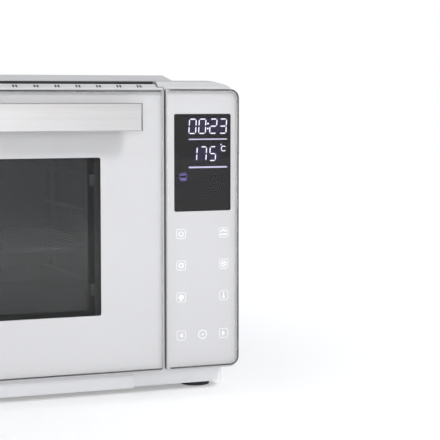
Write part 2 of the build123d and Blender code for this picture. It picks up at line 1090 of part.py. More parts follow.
def make_drip_tray():
    """The pull-out tray: a fascia that rolls back at the top, and an open trough with flanges."""
    tray_back = tray_front + tray_fascia
    upright = Line((tray_front, tray_bottom), (tray_front, tray_top - tray_knee))
    roll = TangentArc(upright @ 1, (tray_front + tray_roll, tray_top), tangent=(0, 1))
    rest = Polyline(
        roll @ 1, (tray_back, tray_top), (tray_back, tray_bottom), (tray_front, tray_bottom)
    )
    fascia = profile(make_face(upright + roll + rest), tray_left, tray_right)
    trough_left = tray_left + trough_side
    trough_right = tray_right - trough_side
    start = tray_front + tray_fascia
    end = start + trough_length
    trough = block(trough_left, trough_right, start, end, trough_bottom, trough_top)
    trough -= block(
        trough_left + trough_wall, trough_right - trough_wall, start, end - trough_wall,
        trough_bottom + trough_wall, trough_top + past,
    )
    rim = trough_top - trough_wall
    trough += block(trough_left - tray_flange + seat, trough_left, start, end, rim, trough_top)
    trough += block(trough_right, trough_right + tray_flange - seat, start, end, rim, trough_top)
    return fascia + trough


def make_tray_guides():
    """Two folded rails under the base pan that carry the tray's flanges."""
    guides = []
    start = cabinet_front + plinth_wall + running
    end = tray_front + tray_fascia + trough_length + 2 * running
    foot_top = trough_top - trough_wall - seat
    for edge, side in ((tray_left, -1), (tray_right, 1)):
        web_near = edge + side * running
        web_far = web_near + side * guide_sheet
        foot_end = edge - side * (tray_flange - running)
        web = block(
            min(web_near, web_far), max(web_near, web_far), start, end,
            foot_top - guide_sheet, casing_bottom,
        )
        foot = block(
            min(foot_end, web_near), max(foot_end, web_near), start, end,
            foot_top - guide_sheet, foot_top,
        )
        guides.append(web + foot)
    return group(guides)


# Cavity
def make_cavity_liner():
    """The enamelled box with its front flange and the holes for fan, lamp, steam and probe."""
    shell = panel(cavity_outline(liner_sheet), frame_back, liner_back)
    shell += panel(cavity_outline(liner_flange), frame_back, frame_back + liner_sheet)
    shell -= panel(cavity_outline(0), frame_back, cavity_back)
    shell -= rod(
        (cavity_middle, cavity_back - past, cavity_centre_z),
        (cavity_middle, liner_back + past, cavity_centre_z),
        chamber_radius - chamber_flange,
    )
    for y, z, radius in side_ports():
        outside = cavity_right + liner_sheet + past
        shell -= rod((cavity_right - past, y, z), (outside, y, z), radius)
    for x in grill_ends():
        shell -= rod(
            (x, cavity_back - past, cavity_top - grill_drop),
            (x, liner_back + past, cavity_top - grill_drop), heater_tube + seat,
        )
    return shell


def side_ports():
    """Depth, height and radius of the holes in the cavity's right wall."""
    return (
        (lamp_y, lamp_z, lamp_radius - lamp_lap),
        (nozzle_y, nozzle_z, nozzle_radius + seat),
        (probe_y, probe_z, probe_radius + seat),
    )


def make_insulation_blanket():
    """The mineral-wool wrap round the cavity."""
    wrap = cavity_outline(liner_sheet + seat + insulation) - cavity_outline(liner_sheet + seat)
    start = frame_back + insulation_start
    blanket = panel(wrap, start, liner_back - insulation_end)
    for y, z, radius in side_ports():
        blanket -= rod((cavity_right, y, z), (partition_left, y, z), radius + port_clearance)
    return blanket


def make_door_seal():
    """The soft seal round the cavity's mouth."""
    ring = cavity_outline(seal_width + seal_inset) - cavity_outline(seal_inset)
    seal = panel(ring, cabinet_front - seal_thickness, cabinet_front)
    front = seal.faces().sort_by(Axis.Y)[0]
    return fillet(front.edges(), seal_width / 4)


def shelf_ladder(side):
    """A wire ladder on one wall of the cavity."""
    wall = cavity_left if side < 0 else cavity_right
    post_x = wall - side * rail_post_offset
    rail_x = wall - side * rail_offset
    low = rail_levels[0] - rail_foot
    high = rail_levels[-1] + rail_head
    posts = (rail_start + rail_post_inset, rail_end - rail_post_inset)
    ladder = [rod((post_x, y, low), (post_x, y, high), rail_wire) for y in posts]
    x = rail_x + side * seat
    for z in rail_levels:
        ladder.append(rod((x, rail_start, z), (x, rail_end, z), rail_wire))
    frame = ladder[0]
    for wire in ladder[1:]:
        frame += wire
    return frame


def make_shelf_rails():
    """The two ladders that carry the rack and the pan."""
    return group([shelf_ladder(-1), shelf_ladder(1)])


def make_wire_rack():
    """The grid: a round-cornered wire frame crossed by thinner wires."""
    rail_top = rail_levels[rack_level] + rail_wire
    z = rail_top + running + rack_frame
    left = cavity_left + rail_offset + rack_frame / 2
    right = cavity_right - rail_offset - rack_frame / 2
    front = frame_back + rack_front + rack_frame
    back = cavity_back - baffle_depth - rack_rear
    loop = RectangleRounded(right - left, back - front, rack_corner)
    path = (Pos((left + right) / 2, (front + back) / 2, z) * loop).wire()
    rack = sweep(Plane(origin=path @ 0, z_dir=path % 0) * Circle(rack_frame), path=path)
    pitch = (right - left) / (rack_wires + 1)
    for place in range(1, rack_wires + 1):
        x = left + place * pitch
        rack += rod((x, front, z + rack_wire), (x, back, z + rack_wire), rack_wire)
    return rack


def make_baking_pan():
    """A drawn steel pan whose rim runs on the rails."""
    rim_bottom = rail_levels[pan_level] + rail_wire + running
    left = cavity_left + rail_offset - rail_wire + running
    right = cavity_right - rail_offset + rail_wire - running
    front = frame_back + rack_front
    back = cavity_back - baffle_depth - rack_rear
    middle = Pos((left + right) / 2, (front + back) / 2)
    rim_sketch = middle * RectangleRounded(right - left, back - front, pan_corner + pan_side)
    rim = plan(rim_sketch, rim_bottom, rim_bottom + pan_metal)

    def bowl(inset, floor, top):
        wide = middle * RectangleRounded(
            right - left - 2 * (pan_side + inset), back - front - 2 * (pan_side + inset),
            pan_corner - inset,
        )
        base = middle * RectangleRounded(
            right - left - 2 * (pan_side + pan_draw + inset),
            back - front - 2 * (pan_side + pan_draw + inset), pan_corner - inset,
        )
        return loft([Pos(0, 0, floor) * base, Pos(0, 0, top) * wide], ruled=True)

    top = rim_bottom + pan_metal
    pan = rim + bowl(0, top - pan_depth, top)
    pan -= bowl(pan_metal, top - pan_depth + pan_metal, top)
    return pan


# Convection
def fan_ring(radius, start, end):
    """A round body on the fan's axis."""
    return rod(
        (cavity_middle, start, cavity_centre_z), (cavity_middle, end, cavity_centre_z), radius
    )


def make_fan_chamber():
    """The dish behind the cavity wall that holds the fan and its heater."""
    dish = fan_ring(chamber_radius, liner_back, chamber_back)
    dish -= fan_ring(chamber_radius - chamber_sheet, liner_back, chamber_back - chamber_sheet)
    ring = fan_ring(chamber_radius + chamber_flange, liner_back, liner_back + chamber_sheet)
    dish += ring - fan_ring(chamber_radius - chamber_sheet, liner_back, liner_back + chamber_sheet)
    dish -= fan_ring(2 * shaft_radius, chamber_back - 2 * chamber_sheet, chamber_back + past)
    for side in (-1, 1):
        x = cavity_middle + side * heater_terminal
        dish -= rod(
            (x, chamber_back - 2 * chamber_sheet, heater_terminal_z),
            (x, chamber_back + past, heater_terminal_z), heater_tube + seat,
        )
    return dish


def make_fan_baffle():
    """The perforated guard in front of the fan, dished back to the cavity wall."""
    front = cavity_back - baffle_depth
    guard = fan_ring(baffle_radius, front, cavity_back)
    guard = fillet(guard.faces().sort_by(Axis.Y)[0].edges(), baffle_depth / 2)
    guard -= fan_ring(baffle_radius - baffle_sheet, front + baffle_sheet, cavity_back)
    slot = SlotOverall(baffle_slot_length, baffle_slot_width, rotation=90)
    pattern = [(ring, count, Circle(baffle_hole)) for ring, count in baffle_rings]
    pattern.append((baffle_slot_ring, baffle_slots, slot))
    centre = Pos(cavity_middle, cavity_centre_z)
    holes = [
        centre * Rot(0, 0, 360 * turn / count) * Pos(ring, 0) * shape
        for ring, count, shape in pattern
        for turn in range(count)
    ]
    return guard - [panel(hole, front - past, front + 2 * baffle_sheet) for hole in holes]


def make_ring_heater():
    """The round heating element, with two cold ends through the chamber's back."""
    y = fan_front + fan_blade_height / 2
    place = Plane((cavity_middle, y, cavity_centre_z), x_dir=(1, 0, 0), z_dir=(0, -1, 0))
    gap = math.degrees(math.asin(heater_terminal / heater_ring))
    arc = place * CenterArc((0, 0), heater_ring, gap - 90, 360 - 2 * gap)
    ring = sweep(Plane(origin=arc @ 0, z_dir=arc % 0) * Circle(heater_tube), path=arc)
    for side in (-1, 1):
        x = cavity_middle + side * heater_terminal
        z = heater_terminal_z
        ring += rod((x, y, z), (x, chamber_back + heater_end, z), heater_tube)
    return ring


def make_convection_fan():
    """The fan wheel: a disc with straight blades and the hub on the motor's shaft."""
    back = fan_front + fan_blade_height
    hub_front = fan_front + fan_hub_start
    wheel = fan_ring(fan_disc_radius, back - fan_disc, back)
    wheel += fan_ring(fan_hub, hub_front, back)
    blade = block(
        cavity_middle + fan_hub - past, cavity_middle + fan_radius, fan_front, back,
        cavity_centre_z - fan_blade / 2, cavity_centre_z + fan_blade / 2,
    )
    axis = Axis((cavity_middle, 0, cavity_centre_z), (0, 1, 0))
    for turn in range(fan_blades):
        wheel += blade.rotate(axis, 360 * turn / fan_blades)
    return wheel + fan_ring(shaft_radius, hub_front, motor_front + motor_length / 2)


def make_convection_motor():
    """The motor behind the chamber, on its mounting spider."""
    motor = fan_ring(motor_radius, motor_front, motor_front + motor_length)
    ring = motor_radius - motor_post_inset
    for turn in range(motor_posts):
        angle = math.radians(90 + 360 * turn / motor_posts)
        x = cavity_middle + ring * math.cos(angle)
        z = cavity_centre_z + ring * math.sin(angle)
        motor += rod((x, chamber_back, z), (x, motor_front, z), motor_post_radius)
    bore_end = motor_front + motor_length / 2 + past
    return motor - fan_ring(shaft_radius + shaft_clearance, motor_front - past, bore_end)


def grill_ends():
    """Where the grill element passes through the cavity's rear wall."""
    reach = (grill_passes - 1) * grill_pitch / 2
    return (cavity_middle - reach, cavity_middle + reach)


def make_grill_element():
    """The serpentine grill element under the cavity's ceiling."""
    z = cavity_top - grill_drop
    front = frame_back + grill_front
    rear = cavity_back - grill_rear
    left, right = grill_ends()
    outside = liner_back + heater_end
    points = [(left, outside, z), (left, front, z)]
    for place in range(1, grill_passes - 1):
        x = left + place * grill_pitch
        near, far = (front, rear) if place % 2 else (rear, front)
        points += [(x, near, z), (x, far, z)]
    points += [(right, front, z), (right, outside, z)]
    return tube(points, grill_bend, heater_tube)


# Lamp, probe and steam inlet in the cavity's right wall
def make_lamp_socket():
    """The lamp's metal can outside the cavity wall, with its halogen capsule."""
    start = cavity_right + liner_sheet
    end = partition_left - seat
    can = rod((start, lamp_y, lamp_z), (end, lamp_y, lamp_z), lamp_radius)
    bottom = (end - lamp_wall, lamp_y, lamp_z)
    can -= rod((start, lamp_y, lamp_z), bottom, lamp_radius - lamp_wall)
    capsule = rod((start, lamp_y, lamp_z), bottom, bulb_radius)
    return can + fillet(capsule.faces().sort_by(Axis.X)[0].edges(), bulb_radius / 2)


def make_lamp_glass():
    """The flanged glass cover that closes the lamp's port from inside."""
    inside = cavity_right - lamp_cover
    cover = rod((inside, lamp_y, lamp_z), (cavity_right, lamp_y, lamp_z), lamp_radius)
    cover = fillet(cover.faces().sort_by(Axis.X)[0].edges(), lamp_cover / 2)
    plug = rod(
        (cavity_right, lamp_y, lamp_z), (cavity_right + liner_sheet, lamp_y, lamp_z),
        lamp_radius - lamp_lap - seat,
    )
    return cover + plug


def make_steam_nozzle():
    """The steam inlet: a flanged tube through the wall."""
    start = cavity_right - nozzle_inside
    end = partition_right + nozzle_outside

    def round_part(left, right, radius):
        return rod((left, nozzle_y, nozzle_z), (right, nozzle_y, nozzle_z), radius)

    nozzle = round_part(start, end, nozzle_radius)
    nozzle += round_part(start, cavity_right, 2 * nozzle_radius)
    return nozzle - round_part(start - past, end + past, nozzle_radius / 2)


def make_temperature_probe():
    """The sensor rod that stands into the cavity."""
    start = cavity_right - probe_length
    end = partition_left - seat
    stem = rod((start, probe_y, probe_z), (end, probe_y, probe_z), probe_radius)
    face = cavity_right - probe_collar
    collar = rod((face, probe_y, probe_z), (cavity_right, probe_y, probe_z), 3 * probe_radius)
    return stem + collar


# Cooling blower, its shelf and the exhaust duct
def make_blower_shelf():
    """The sheet above the insulation that carries the blower and the duct."""
    left = -inner_half + frame_sheet + seat
    return block(
        left, partition_right, frame_back, flange_front - running, shelf_bottom, shelf_top
    )


def make_blower_housing():
    """The scroll housing, with its inlet on top and its outlet to the front."""
    centre = Pos(blower_x, blower_y)
    left = blower_x - blower_radius
    middle_y = (duct_end + blower_y) / 2
    length = blower_y - duct_end

    def shape(inset):
        throat = Pos(left + duct_narrow / 2, middle_y) * Rectangle(duct_narrow - 2 * inset, length)
        return centre * Circle(blower_radius - inset) + throat

    body = plan(shape(0), shelf_top, blower_top)
    body -= plan(shape(blower_wall), shelf_top + blower_wall, blower_top - blower_wall)
    inlet = centre * Circle(blower_inlet)
    return body - plan(inlet, blower_top - blower_wall, blower_top)


def make_blower_rotor():
    """The radial rotor: a plate, a crown of blades and the hub over the motor."""
    low = shelf_top + blower_wall + rotor_gap
    high = low + rotor_height
    cap_top = high - rotor_hub
    place = Pos(blower_x, blower_y)
    crown = place * (Circle(rotor_radius) - Circle(blower_motor_radius + rotor_hub / 2))
    wheel = plan(crown, low, low + rotor_sheet)
    ring = place * (Circle(rotor_radius) - Circle(rotor_radius - rotor_ring))
    wheel += plan(ring, high - rotor_ring, high)
    blade = block(
        blower_x + rotor_radius - rotor_blade_length, blower_x + rotor_radius - rotor_ring / 4,
        blower_y - rotor_blade / 2, blower_y + rotor_blade / 2, low, high,
    )
    axis = Axis((blower_x, blower_y, 0), (0, 0, 1))
    for turn in range(rotor_blades):
        wheel += blade.rotate(axis, 360 * turn / rotor_blades)
    wall = Circle(blower_motor_radius + rotor_hub) - Circle(blower_motor_radius + running)
    wheel += plan(place * wall, low, cap_top - rotor_hub)
    cap = place * (Circle(blower_motor_radius + rotor_hub) - Circle(shaft_radius / 2))
    return wheel + plan(cap, cap_top - rotor_hub, cap_top)


def make_blower_motor():
    """The outer-rotor motor on the blower's floor, with the shaft that bears the rotor."""
    low = shelf_top + blower_wall
    high = low + rotor_gap + rotor_height
    place = Pos(blower_x, blower_y)
    body = plan(place * Circle(blower_motor_radius), low, high - 2 * rotor_hub - running)
    return body + plan(place * Circle(shaft_radius / 2 - shaft_clearance), low, high)


def duct_section(inset, wide):
    """The duct's cross-section at the mouth, or at the blower when it isn't wide."""
    if wide:
        left, right = duct_left, door_right
        low, high = duct_bottom, duct_top
    else:
        left = blower_x - blower_radius
        right = left + duct_narrow
        low, high = shelf_top, blower_top
    width_here = right - left - 2 * inset
    height_here = high - low - 2 * inset
    return Pos((left + right) / 2, (low + high) / 2) * Rectangle(width_here, height_here)


def make_exhaust_duct():
    """The flat duct that widens from the blower to the long mouth above the door."""
    taper_front = frame_back + frame_flange
    neck_front = duct_end - duct_neck

    def body(inset):
        mouth = panel(duct_section(inset, True), cabinet_front, taper_front)
        front = Plane((0, taper_front, 0), x_dir=(1, 0, 0), z_dir=(0, -1, 0))
        back = Plane((0, neck_front, 0), x_dir=(1, 0, 0), z_dir=(0, -1, 0))
        ends = [front * duct_section(inset, True), back * duct_section(inset, False)]
        taper = loft(ends, ruled=True)
        return mouth + taper + panel(duct_section(inset, False), neck_front, duct_end)

    return body(0) - body(duct_wall)


# Right-hand compartment
def make_partition():
    """The sheet between the cavity and the electrics."""
    wall = block(
        partition_left, partition_right, frame_back + frame_flange + running,
        flange_front - running, base_top, shelf_bottom,
    )
    return wall - rod(
        (partition_left - past, nozzle_y, nozzle_z), (partition_right + past, nozzle_y, nozzle_z),
        nozzle_radius + seat,
    )


def make_power_board():
    """The supply board on four stand-offs, with its relays, coil and capacitor."""
    left = partition_right + supply_gap
    face = left + board
    front = frame_back + supply_front
    back = front + supply_length
    high = supply_bottom + supply_height
    supply = block(left, face, front, back, supply_bottom, high)
    for y in (front + supply_corner, back - supply_corner):
        for z in (supply_bottom + supply_corner, high - supply_corner):
            supply += rod((partition_right, y, z), (left, y, z), standoff)
    relay_bottom = supply_bottom + relay_rise
    for place in range(relays):
        y = front + relay_first + relay_pitch * place
        supply += block(
            face, face + relay_size, y, y + relay_size, relay_bottom, relay_bottom + relay_height
        )
    coil_front = front + relay_first
    coil_bottom = supply_bottom + coil_rise
    supply += block(
        face, face + coil_reach, coil_front, coil_front + coil_size, coil_bottom,
        coil_bottom + coil_size,
    )
    y = back - capacitor_inset
    z = high - capacitor_inset
    return supply + rod((face, y, z), (face + capacitor_length, y, z), capacitor_radius)


def make_steam_generator():
    """A cast flash boiler on two feet, with its inlet and outlet stubs."""
    left = boiler_middle - boiler_width / 2
    right = boiler_middle + boiler_width / 2
    back = boiler_start + boiler_length
    boiler = block(left, right, boiler_start, back, boiler_bottom, boiler_top)
    boiler = fillet(boiler.edges().filter_by(Axis.Z), boiler_radius)
    for y in (boiler_start + boiler_foot, back - 2 * boiler_foot):
        boiler += block(
            left + boiler_foot_side, right - boiler_foot_side, y, y + boiler_foot, base_top,
            boiler_bottom,
        )
    x, y, z = boiler_inlet
    boiler += rod(boiler_inlet, (x, boiler_start + stub_radius, z), stub_radius)
    x, y, z = boiler_outlet
    return boiler + rod(boiler_outlet, (x, y, boiler_top - stub_radius), stub_radius)


def make_water_pump():
    """A solenoid pump on a foot, with a stub at each end."""
    pump = rod((pump_x, pump_start, pump_z), (pump_x, pump_end, pump_z), pump_radius)
    pump += block(
        pump_x - coil_half_width, pump_x + coil_half_width, pump_start + coil_inset,
        pump_end - coil_inset, pump_z - coil_half_height, pump_z + coil_half_height,
    )
    pump += block(
        pump_x - pump_radius, pump_x + pump_radius, pump_start + pump_foot_inset,
        pump_end - pump_foot_inset, base_top, pump_z - coil_half_height,
    )
    start = (pump_x, pump_start - stub_length, pump_z)
    end = (pump_x, pump_end + stub_length, pump_z)
    return pump + rod(start, end, stub_radius)


def suction_hose():
    """The hose from the tank's socket to the pump's inlet."""
    x = pump_x
    end = pump_start - stub_length
    front = end - suction_run
    high = pump_z + suction_rise
    points = [
        (x, tank_middle_y, well_floor - socket_length), (x, tank_middle_y, high),
        (x, front, high), (x, front, pump_z), (x, end, pump_z),
    ]
    return tube(points, suction_bend, hose_radius)


def pressure_hose():
    """The hose from the pump to the boiler."""
    start = (pump_x, pump_end + stub_length, pump_z)
    x, y, z = boiler_inlet
    turn = y - pressure_run
    points = [start, (pump_x, turn, pump_z), (x, turn, z), boiler_inlet]
    return tube(points, pressure_bend, hose_radius)


def steam_hose():
    """The hose from the boiler up and over to the cavity's steam inlet."""
    x, y, z = boiler_outlet
    end = (partition_right + nozzle_outside, nozzle_y, nozzle_z)
    points = [boiler_outlet, (x, y, nozzle_z), (x, nozzle_y, nozzle_z), end]
    return tube(points, steam_bend, hose_radius)


def make_hoses():
    """The three silicone hoses, kept as separate solids."""
    return group([suction_hose(), pressure_hose(), steam_hose()])


def make_tank_well():
    """The guide that the tank stands in, with its shelf to the partition and its socket."""
    left = tank_left - well_wall
    right = tank_right + well_wall
    front = tank_front - well_wall
    back = tank_back + well_wall
    floor_top = well_floor + well_wall
    well = block(left, right, front, back, well_floor, tank_top)
    well -= block(tank_left, tank_right, tank_front, tank_back, floor_top, tank_top + past)
    well += block(
        partition_right, left, tank_middle_y - well_shelf / 2, tank_middle_y + well_shelf / 2,
        well_floor, floor_top,
    )

    def upright(low, high, radius):
        return rod((tank_middle_x, tank_middle_y, low), (tank_middle_x, tank_middle_y, high), radius)

    well += upright(well_floor - socket_length, well_floor, valve_radius)
    return well - upright(well_floor - socket_length - past, floor_top + past, valve_bore)


def tank_plan(inset):
    """The tank's plan view, less an inset."""
    return Pos(tank_middle_x, tank_middle_y) * RectangleRounded(
        tank_width - 2 * inset, tank_length - 2 * inset, tank_radius - inset
    )


def make_water_tank():
    """The clear water tank, open at the top under its lid, with its foot valve."""
    gap = 2 * running
    tank = plan(tank_plan(gap), tank_floor, tank_top)
    tank -= plan(tank_plan(gap + tank_wall), tank_floor + tank_wall, tank_top)
    valve = Pos(tank_middle_x, tank_middle_y) * Circle(valve_radius)
    return tank + plan(valve, well_floor + well_wall + running, tank_floor)


def make_tank_lid():
    """The tank's lid and grip, which continues the casing's shoulder."""
    gap = 2 * running
    skin = body_outline(casing_top, tank_top)
    under = body_outline(casing_top, tank_top, lid_wall)
    sheet = panel(skin, tank_front, tank_back) & plan(tank_plan(gap), tank_top, casing_top)
    inside = panel(under, tank_front, tank_back) & plan(
        tank_plan(gap + lid_wall), tank_top, casing_top
    )
    return sheet - inside


# Control column
def control_outline(inset):
    """The control glass, whose outer corners are the round ones."""
    inner = max(seam_radius - inset, pane_corner)
    return round_rect(
        panel_left + inset, half - inset, front_bottom + inset, panel_top - inset, inner,
        corner_radius - inset,
    )


def display_outline(grow):
    """The display's window in the control column."""
    left = panel_left + display_left - grow
    right = half - display_right + grow
    return round_rect(left, right, display_bottom - grow, display_top + grow, window_radius)


def make_control_trim():
    """The trim round the control glass."""
    return edge_trim(control_outline(trim_gap), control_outline(trim_width))


def make_control_glass():
    """The touch glass."""
    return pane(control_outline(trim_width + seat))


def make_control_mask():
    """The sheet with the light print behind the touch glass, open at the display."""
    sheet = control_outline(trim_width + seat) - display_outline(0)
    return panel(sheet, mask_front, mask_back)


def make_control_housing():
    """The moulded housing behind the touch glass, with lip, sloped step and key holes."""
    lip_top = panel_top + lip_rise
    top = control_step_top
    border = round_rect(panel_left, half, lip_bottom, casing_top, seam_radius, corner_radius)
    lip = panel(body_outline(lip_top, lip_bottom) & border, mask_back, lip_depth)
    border = round_rect(panel_left, half, front_bottom, casing_top, seam_radius, corner_radius)
    step = panel(body_outline(top, front_bottom) & border, lip_depth, cabinet_front)
    crest = round_rect(panel_left, half, duct_bottom, casing_top, seam_radius)
    cap = panel(body_outline(top, front_bottom) & crest, cabinet_front, casing_front)
    housing = lip + step + cap - slope_cut(panel_left, half, lip_top, top)
    pocket = round_rect(
        panel_left + housing_wall, half - housing_wall, front_bottom + housing_wall,
        panel_top - housing_wall, seam_radius, corner_radius - housing_wall,
    )
    housing -= panel(pocket, flange_back, cabinet_front)
    housing -= panel(display_outline(seat), mask_back, flange_back)
    for x, z in key_places:
        housing -= panel(key_outline(x, z, key_hole), mask_back, flange_back)
    for x, z in standoff_places():
        housing += rod((x, flange_back, z), (x, control_board_depth, z), standoff)
    return housing


def standoff_places():
    """Where the control board stands off from the housing's flange."""
    middle = (display_bottom + key_rows[0] + 2 * key_pad) / 2
    return [
        (x, z)
        for x in (panel_left + 3 * housing_wall, half - 3 * housing_wall)
        for z in (front_bottom + 6 * housing_wall, middle)
    ]


def make_display_module():
    """The display: a lit face in the window, its board and its case."""
    face = panel(display_outline(0), mask_back, flange_back)
    plate = panel(display_outline(display_rim), flange_back, flange_back + board)
    case = panel(display_outline(-display_rim), flange_back + board, flange_back + display_case)
    return face + plate + case


def make_touch_board():
    """The touch sensor board, with a light guide behind each key."""
    low = key_rows[-1] - 3 * key_pad
    high = key_rows[0] + 2 * key_pad
    left = panel_left + 2 * housing_wall
    right = half - 2 * housing_wall
    sheet = panel(
        round_rect(left, right, low, high, board_corner), flange_back, flange_back + board
    )
    for x, z in key_places:
        sheet += panel(key_outline(x, z, key_pad), mask_back, flange_back)
    return sheet


def make_control_board():
    """The main board on the housing's stand-offs, with its relays and connectors."""
    back = control_board_depth + board
    left = panel_left + 2 * housing_wall
    right = half - 2 * housing_wall
    low = front_bottom + 4 * housing_wall
    high = display_top - board_drop
    main = panel(round_rect(left, right, low, high, board_corner), control_board_depth, back)
    first = low + driver_first
    driver_x = panel_left + driver_left
    for place in range(driver_rows):
        z = first + driver_pitch * place
        main += block(
            driver_x, driver_x + driver_width, back, back + driver_height, z, z + driver_length
        )
    plug_x = half - plug_right
    for place in range(plug_rows):
        z = first + plug_pitch * place
        main += block(plug_x - plug_width, plug_x, back, back + plug_height, z, z + plug_length)
    return main


def make_door_switch():
    """The switch that the striker works, with its lever, behind the front frame."""
    left = striker_x + striker_sheet / 2 + 2 * seat
    face = left + switch_lever
    body = block(
        face, face + switch_width, frame_back, frame_back + switch_length,
        striker_z - striker_height, striker_z + striker_height,
    )
    lever = block(
        left, face, frame_back + seat, frame_back + switch_lever_length,
        striker_z - switch_lever_height / 2, striker_z + switch_lever_height / 2,
    )
    return body + lever


parts = {
    "base_pan": make_base_pan(),
    "plinth": make_plinth(),
    "feet": make_feet(),
    "tray_guides": make_tray_guides(),
    "outer_casing": make_outer_casing(),
    "rear_panel": make_rear_panel(),
    "rear_screws": make_rear_screws(),
    "rear_buffers": make_rear_buffers(),
    "cord_gland": make_cord_gland(),
    "front_frame": make_front_frame(),
    "hinge_brackets": make_hinge_brackets(),
    "door_seal": make_door_seal(),
    "door_switch": make_door_switch(),
    "cavity_liner": make_cavity_liner(),
    "insulation_blanket": make_insulation_blanket(),
    "shelf_rails": make_shelf_rails(),
    "grill_element": make_grill_element(),
    "fan_chamber": make_fan_chamber(),
    "fan_baffle": make_fan_baffle(),
    "ring_heater": make_ring_heater(),
    "convection_motor": make_convection_motor(),
    "lamp_socket": make_lamp_socket(),
    "lamp_glass": make_lamp_glass(),
    "steam_nozzle": make_steam_nozzle(),
    "temperature_probe": make_temperature_probe(),
    "blower_shelf": make_blower_shelf(),
    "blower_housing": make_blower_housing(),
    "blower_motor": make_blower_motor(),
    "exhaust_duct": make_exhaust_duct(),
    "partition": make_partition(),
    "power_board": make_power_board(),
    "steam_generator": make_steam_generator(),
    "water_pump": make_water_pump(),
    "hoses": make_hoses(),
    "tank_well": make_tank_well(),
    "control_trim": make_control_trim(),
    "control_glass": make_control_glass(),
    "control_mask": make_control_mask(),
    "control_housing": make_control_housing(),
    "display_module": make_display_module(),
    "touch_board": make_touch_board(),
    "control_board": make_control_board(),
    "door_trim": make_door_trim(),
    "door_glass": make_door_glass(),
    "door_mask": make_door_mask(),
    "door_frame": make_door_frame(),
    "door_inner_panel": make_door_inner_panel(),
    "inner_glass": make_inner_glass(),
    "glass_clips": make_glass_clips(),
    "handle_bar": make_handle_bar(),
    "handle_posts": make_handle_posts(),
    "handle_screws": make_handle_screws(),
    "hinge_pins": make_hinge_pins(),
    "drip_tray": make_drip_tray(),
    "water_tank": make_water_tank(),
    "tank_lid": make_tank_lid(),
    "convection_fan": make_convection_fan(),
    "blower_rotor": make_blower_rotor(),
    "wire_rack": make_wire_rack(),
    "baking_pan": make_baking_pan(),
}

os.makedirs("parts", exist_ok=True)
for name, shape in parts.items():
    export_step(Pos(0, -origin_shift, 0) * shape, f"parts/{name}.step")
print(len(parts), "parts written")
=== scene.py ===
# %% [markdown]
# The imported oven comes in first, as a fixed frame. Its pieces keep their places and shapes,
# and everything made later rides on one of its bodies.
# %% Load the oven
import json
import math
import bpy
import numpy as np
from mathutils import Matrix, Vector


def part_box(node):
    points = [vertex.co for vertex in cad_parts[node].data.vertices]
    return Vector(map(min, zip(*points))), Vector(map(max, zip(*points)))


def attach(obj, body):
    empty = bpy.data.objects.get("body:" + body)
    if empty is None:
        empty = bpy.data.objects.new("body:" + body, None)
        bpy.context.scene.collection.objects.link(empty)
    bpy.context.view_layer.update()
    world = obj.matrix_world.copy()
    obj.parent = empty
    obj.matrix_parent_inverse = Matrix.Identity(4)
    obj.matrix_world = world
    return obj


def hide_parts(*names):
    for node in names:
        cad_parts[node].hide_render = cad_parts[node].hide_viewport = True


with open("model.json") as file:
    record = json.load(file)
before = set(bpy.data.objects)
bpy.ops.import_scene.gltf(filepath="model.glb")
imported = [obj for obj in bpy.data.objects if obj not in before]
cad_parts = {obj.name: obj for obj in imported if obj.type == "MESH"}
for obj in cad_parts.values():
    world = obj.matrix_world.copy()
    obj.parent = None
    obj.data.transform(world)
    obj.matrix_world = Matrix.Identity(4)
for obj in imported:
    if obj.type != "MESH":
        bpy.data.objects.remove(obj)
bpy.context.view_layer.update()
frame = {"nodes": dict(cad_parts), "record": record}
scene = bpy.context.scene

# %% [markdown]
# The camera is worked out from one well-measured point: the top right corner of the control glass.
# The photograph gives the direction, the focal length and the pixel where that corner lies, and its
# distance follows from the height of the glass. A camera placed by eye would need many trials. The left
# edge of the control panel is kept too, because the seam and the display are placed from it.
# %% Camera
image_side = 440
sensor = 36
focal_pixels = 1527
azimuth = math.radians(-22)
horizon_pixel = 97
corner_pixel = (239.5, 89.05)
corner_distance = 1.606

mm = 0.001
glass_inset = 2 * mm
glass_low, glass_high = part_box("control_glass")
panel_left = glass_low.x - glass_inset
corner = Vector((glass_high.x + glass_inset, glass_low.y, glass_high.z + glass_inset))
pitch = math.atan((image_side / 2 - horizon_pixel) / focal_pixels)
forward = Vector((
    -math.sin(azimuth) * math.cos(pitch), math.cos(azimuth) * math.cos(pitch), -math.sin(pitch)
))
right = forward.cross(Vector((0, 0, 1))).normalized()
up = right.cross(forward)
across = (corner_pixel[0] - image_side / 2) / focal_pixels
above = (image_side / 2 - corner_pixel[1]) / focal_pixels
camera = bpy.data.objects.new("camera", bpy.data.cameras.new("camera"))
camera.data.sensor_width = sensor
camera.data.lens = focal_pixels * sensor / image_side
camera.location = corner - corner_distance * (forward + across * right + above * up)
camera.rotation_euler = forward.to_track_quat("-Z", "Y").to_euler()
scene.collection.objects.link(camera)
scene.camera = camera
print("camera at", [round(v, 3) for v in camera.location], "lens", round(camera.data.lens, 1))

# %% [markdown]
# Shader nodes are wired with a few short calls: arithmetic, a range mapped onto another one, noise, and
# a piece's own coordinates. The world, the floor and all the finishes use them.
# %% Helpers for nodes
def maths(tree, operation, first, second=None, clamp=False):
    """A Math node in the tree, whose inputs are sockets or numbers."""
    node = tree.nodes.new("ShaderNodeMath")
    node.operation = operation
    node.use_clamp = clamp
    for place, value in enumerate((first, second)):
        if isinstance(value, (int, float)):
            node.inputs[place].default_value = value
        elif value is not None:
            tree.links.new(value, node.inputs[place])
    return node.outputs[0]


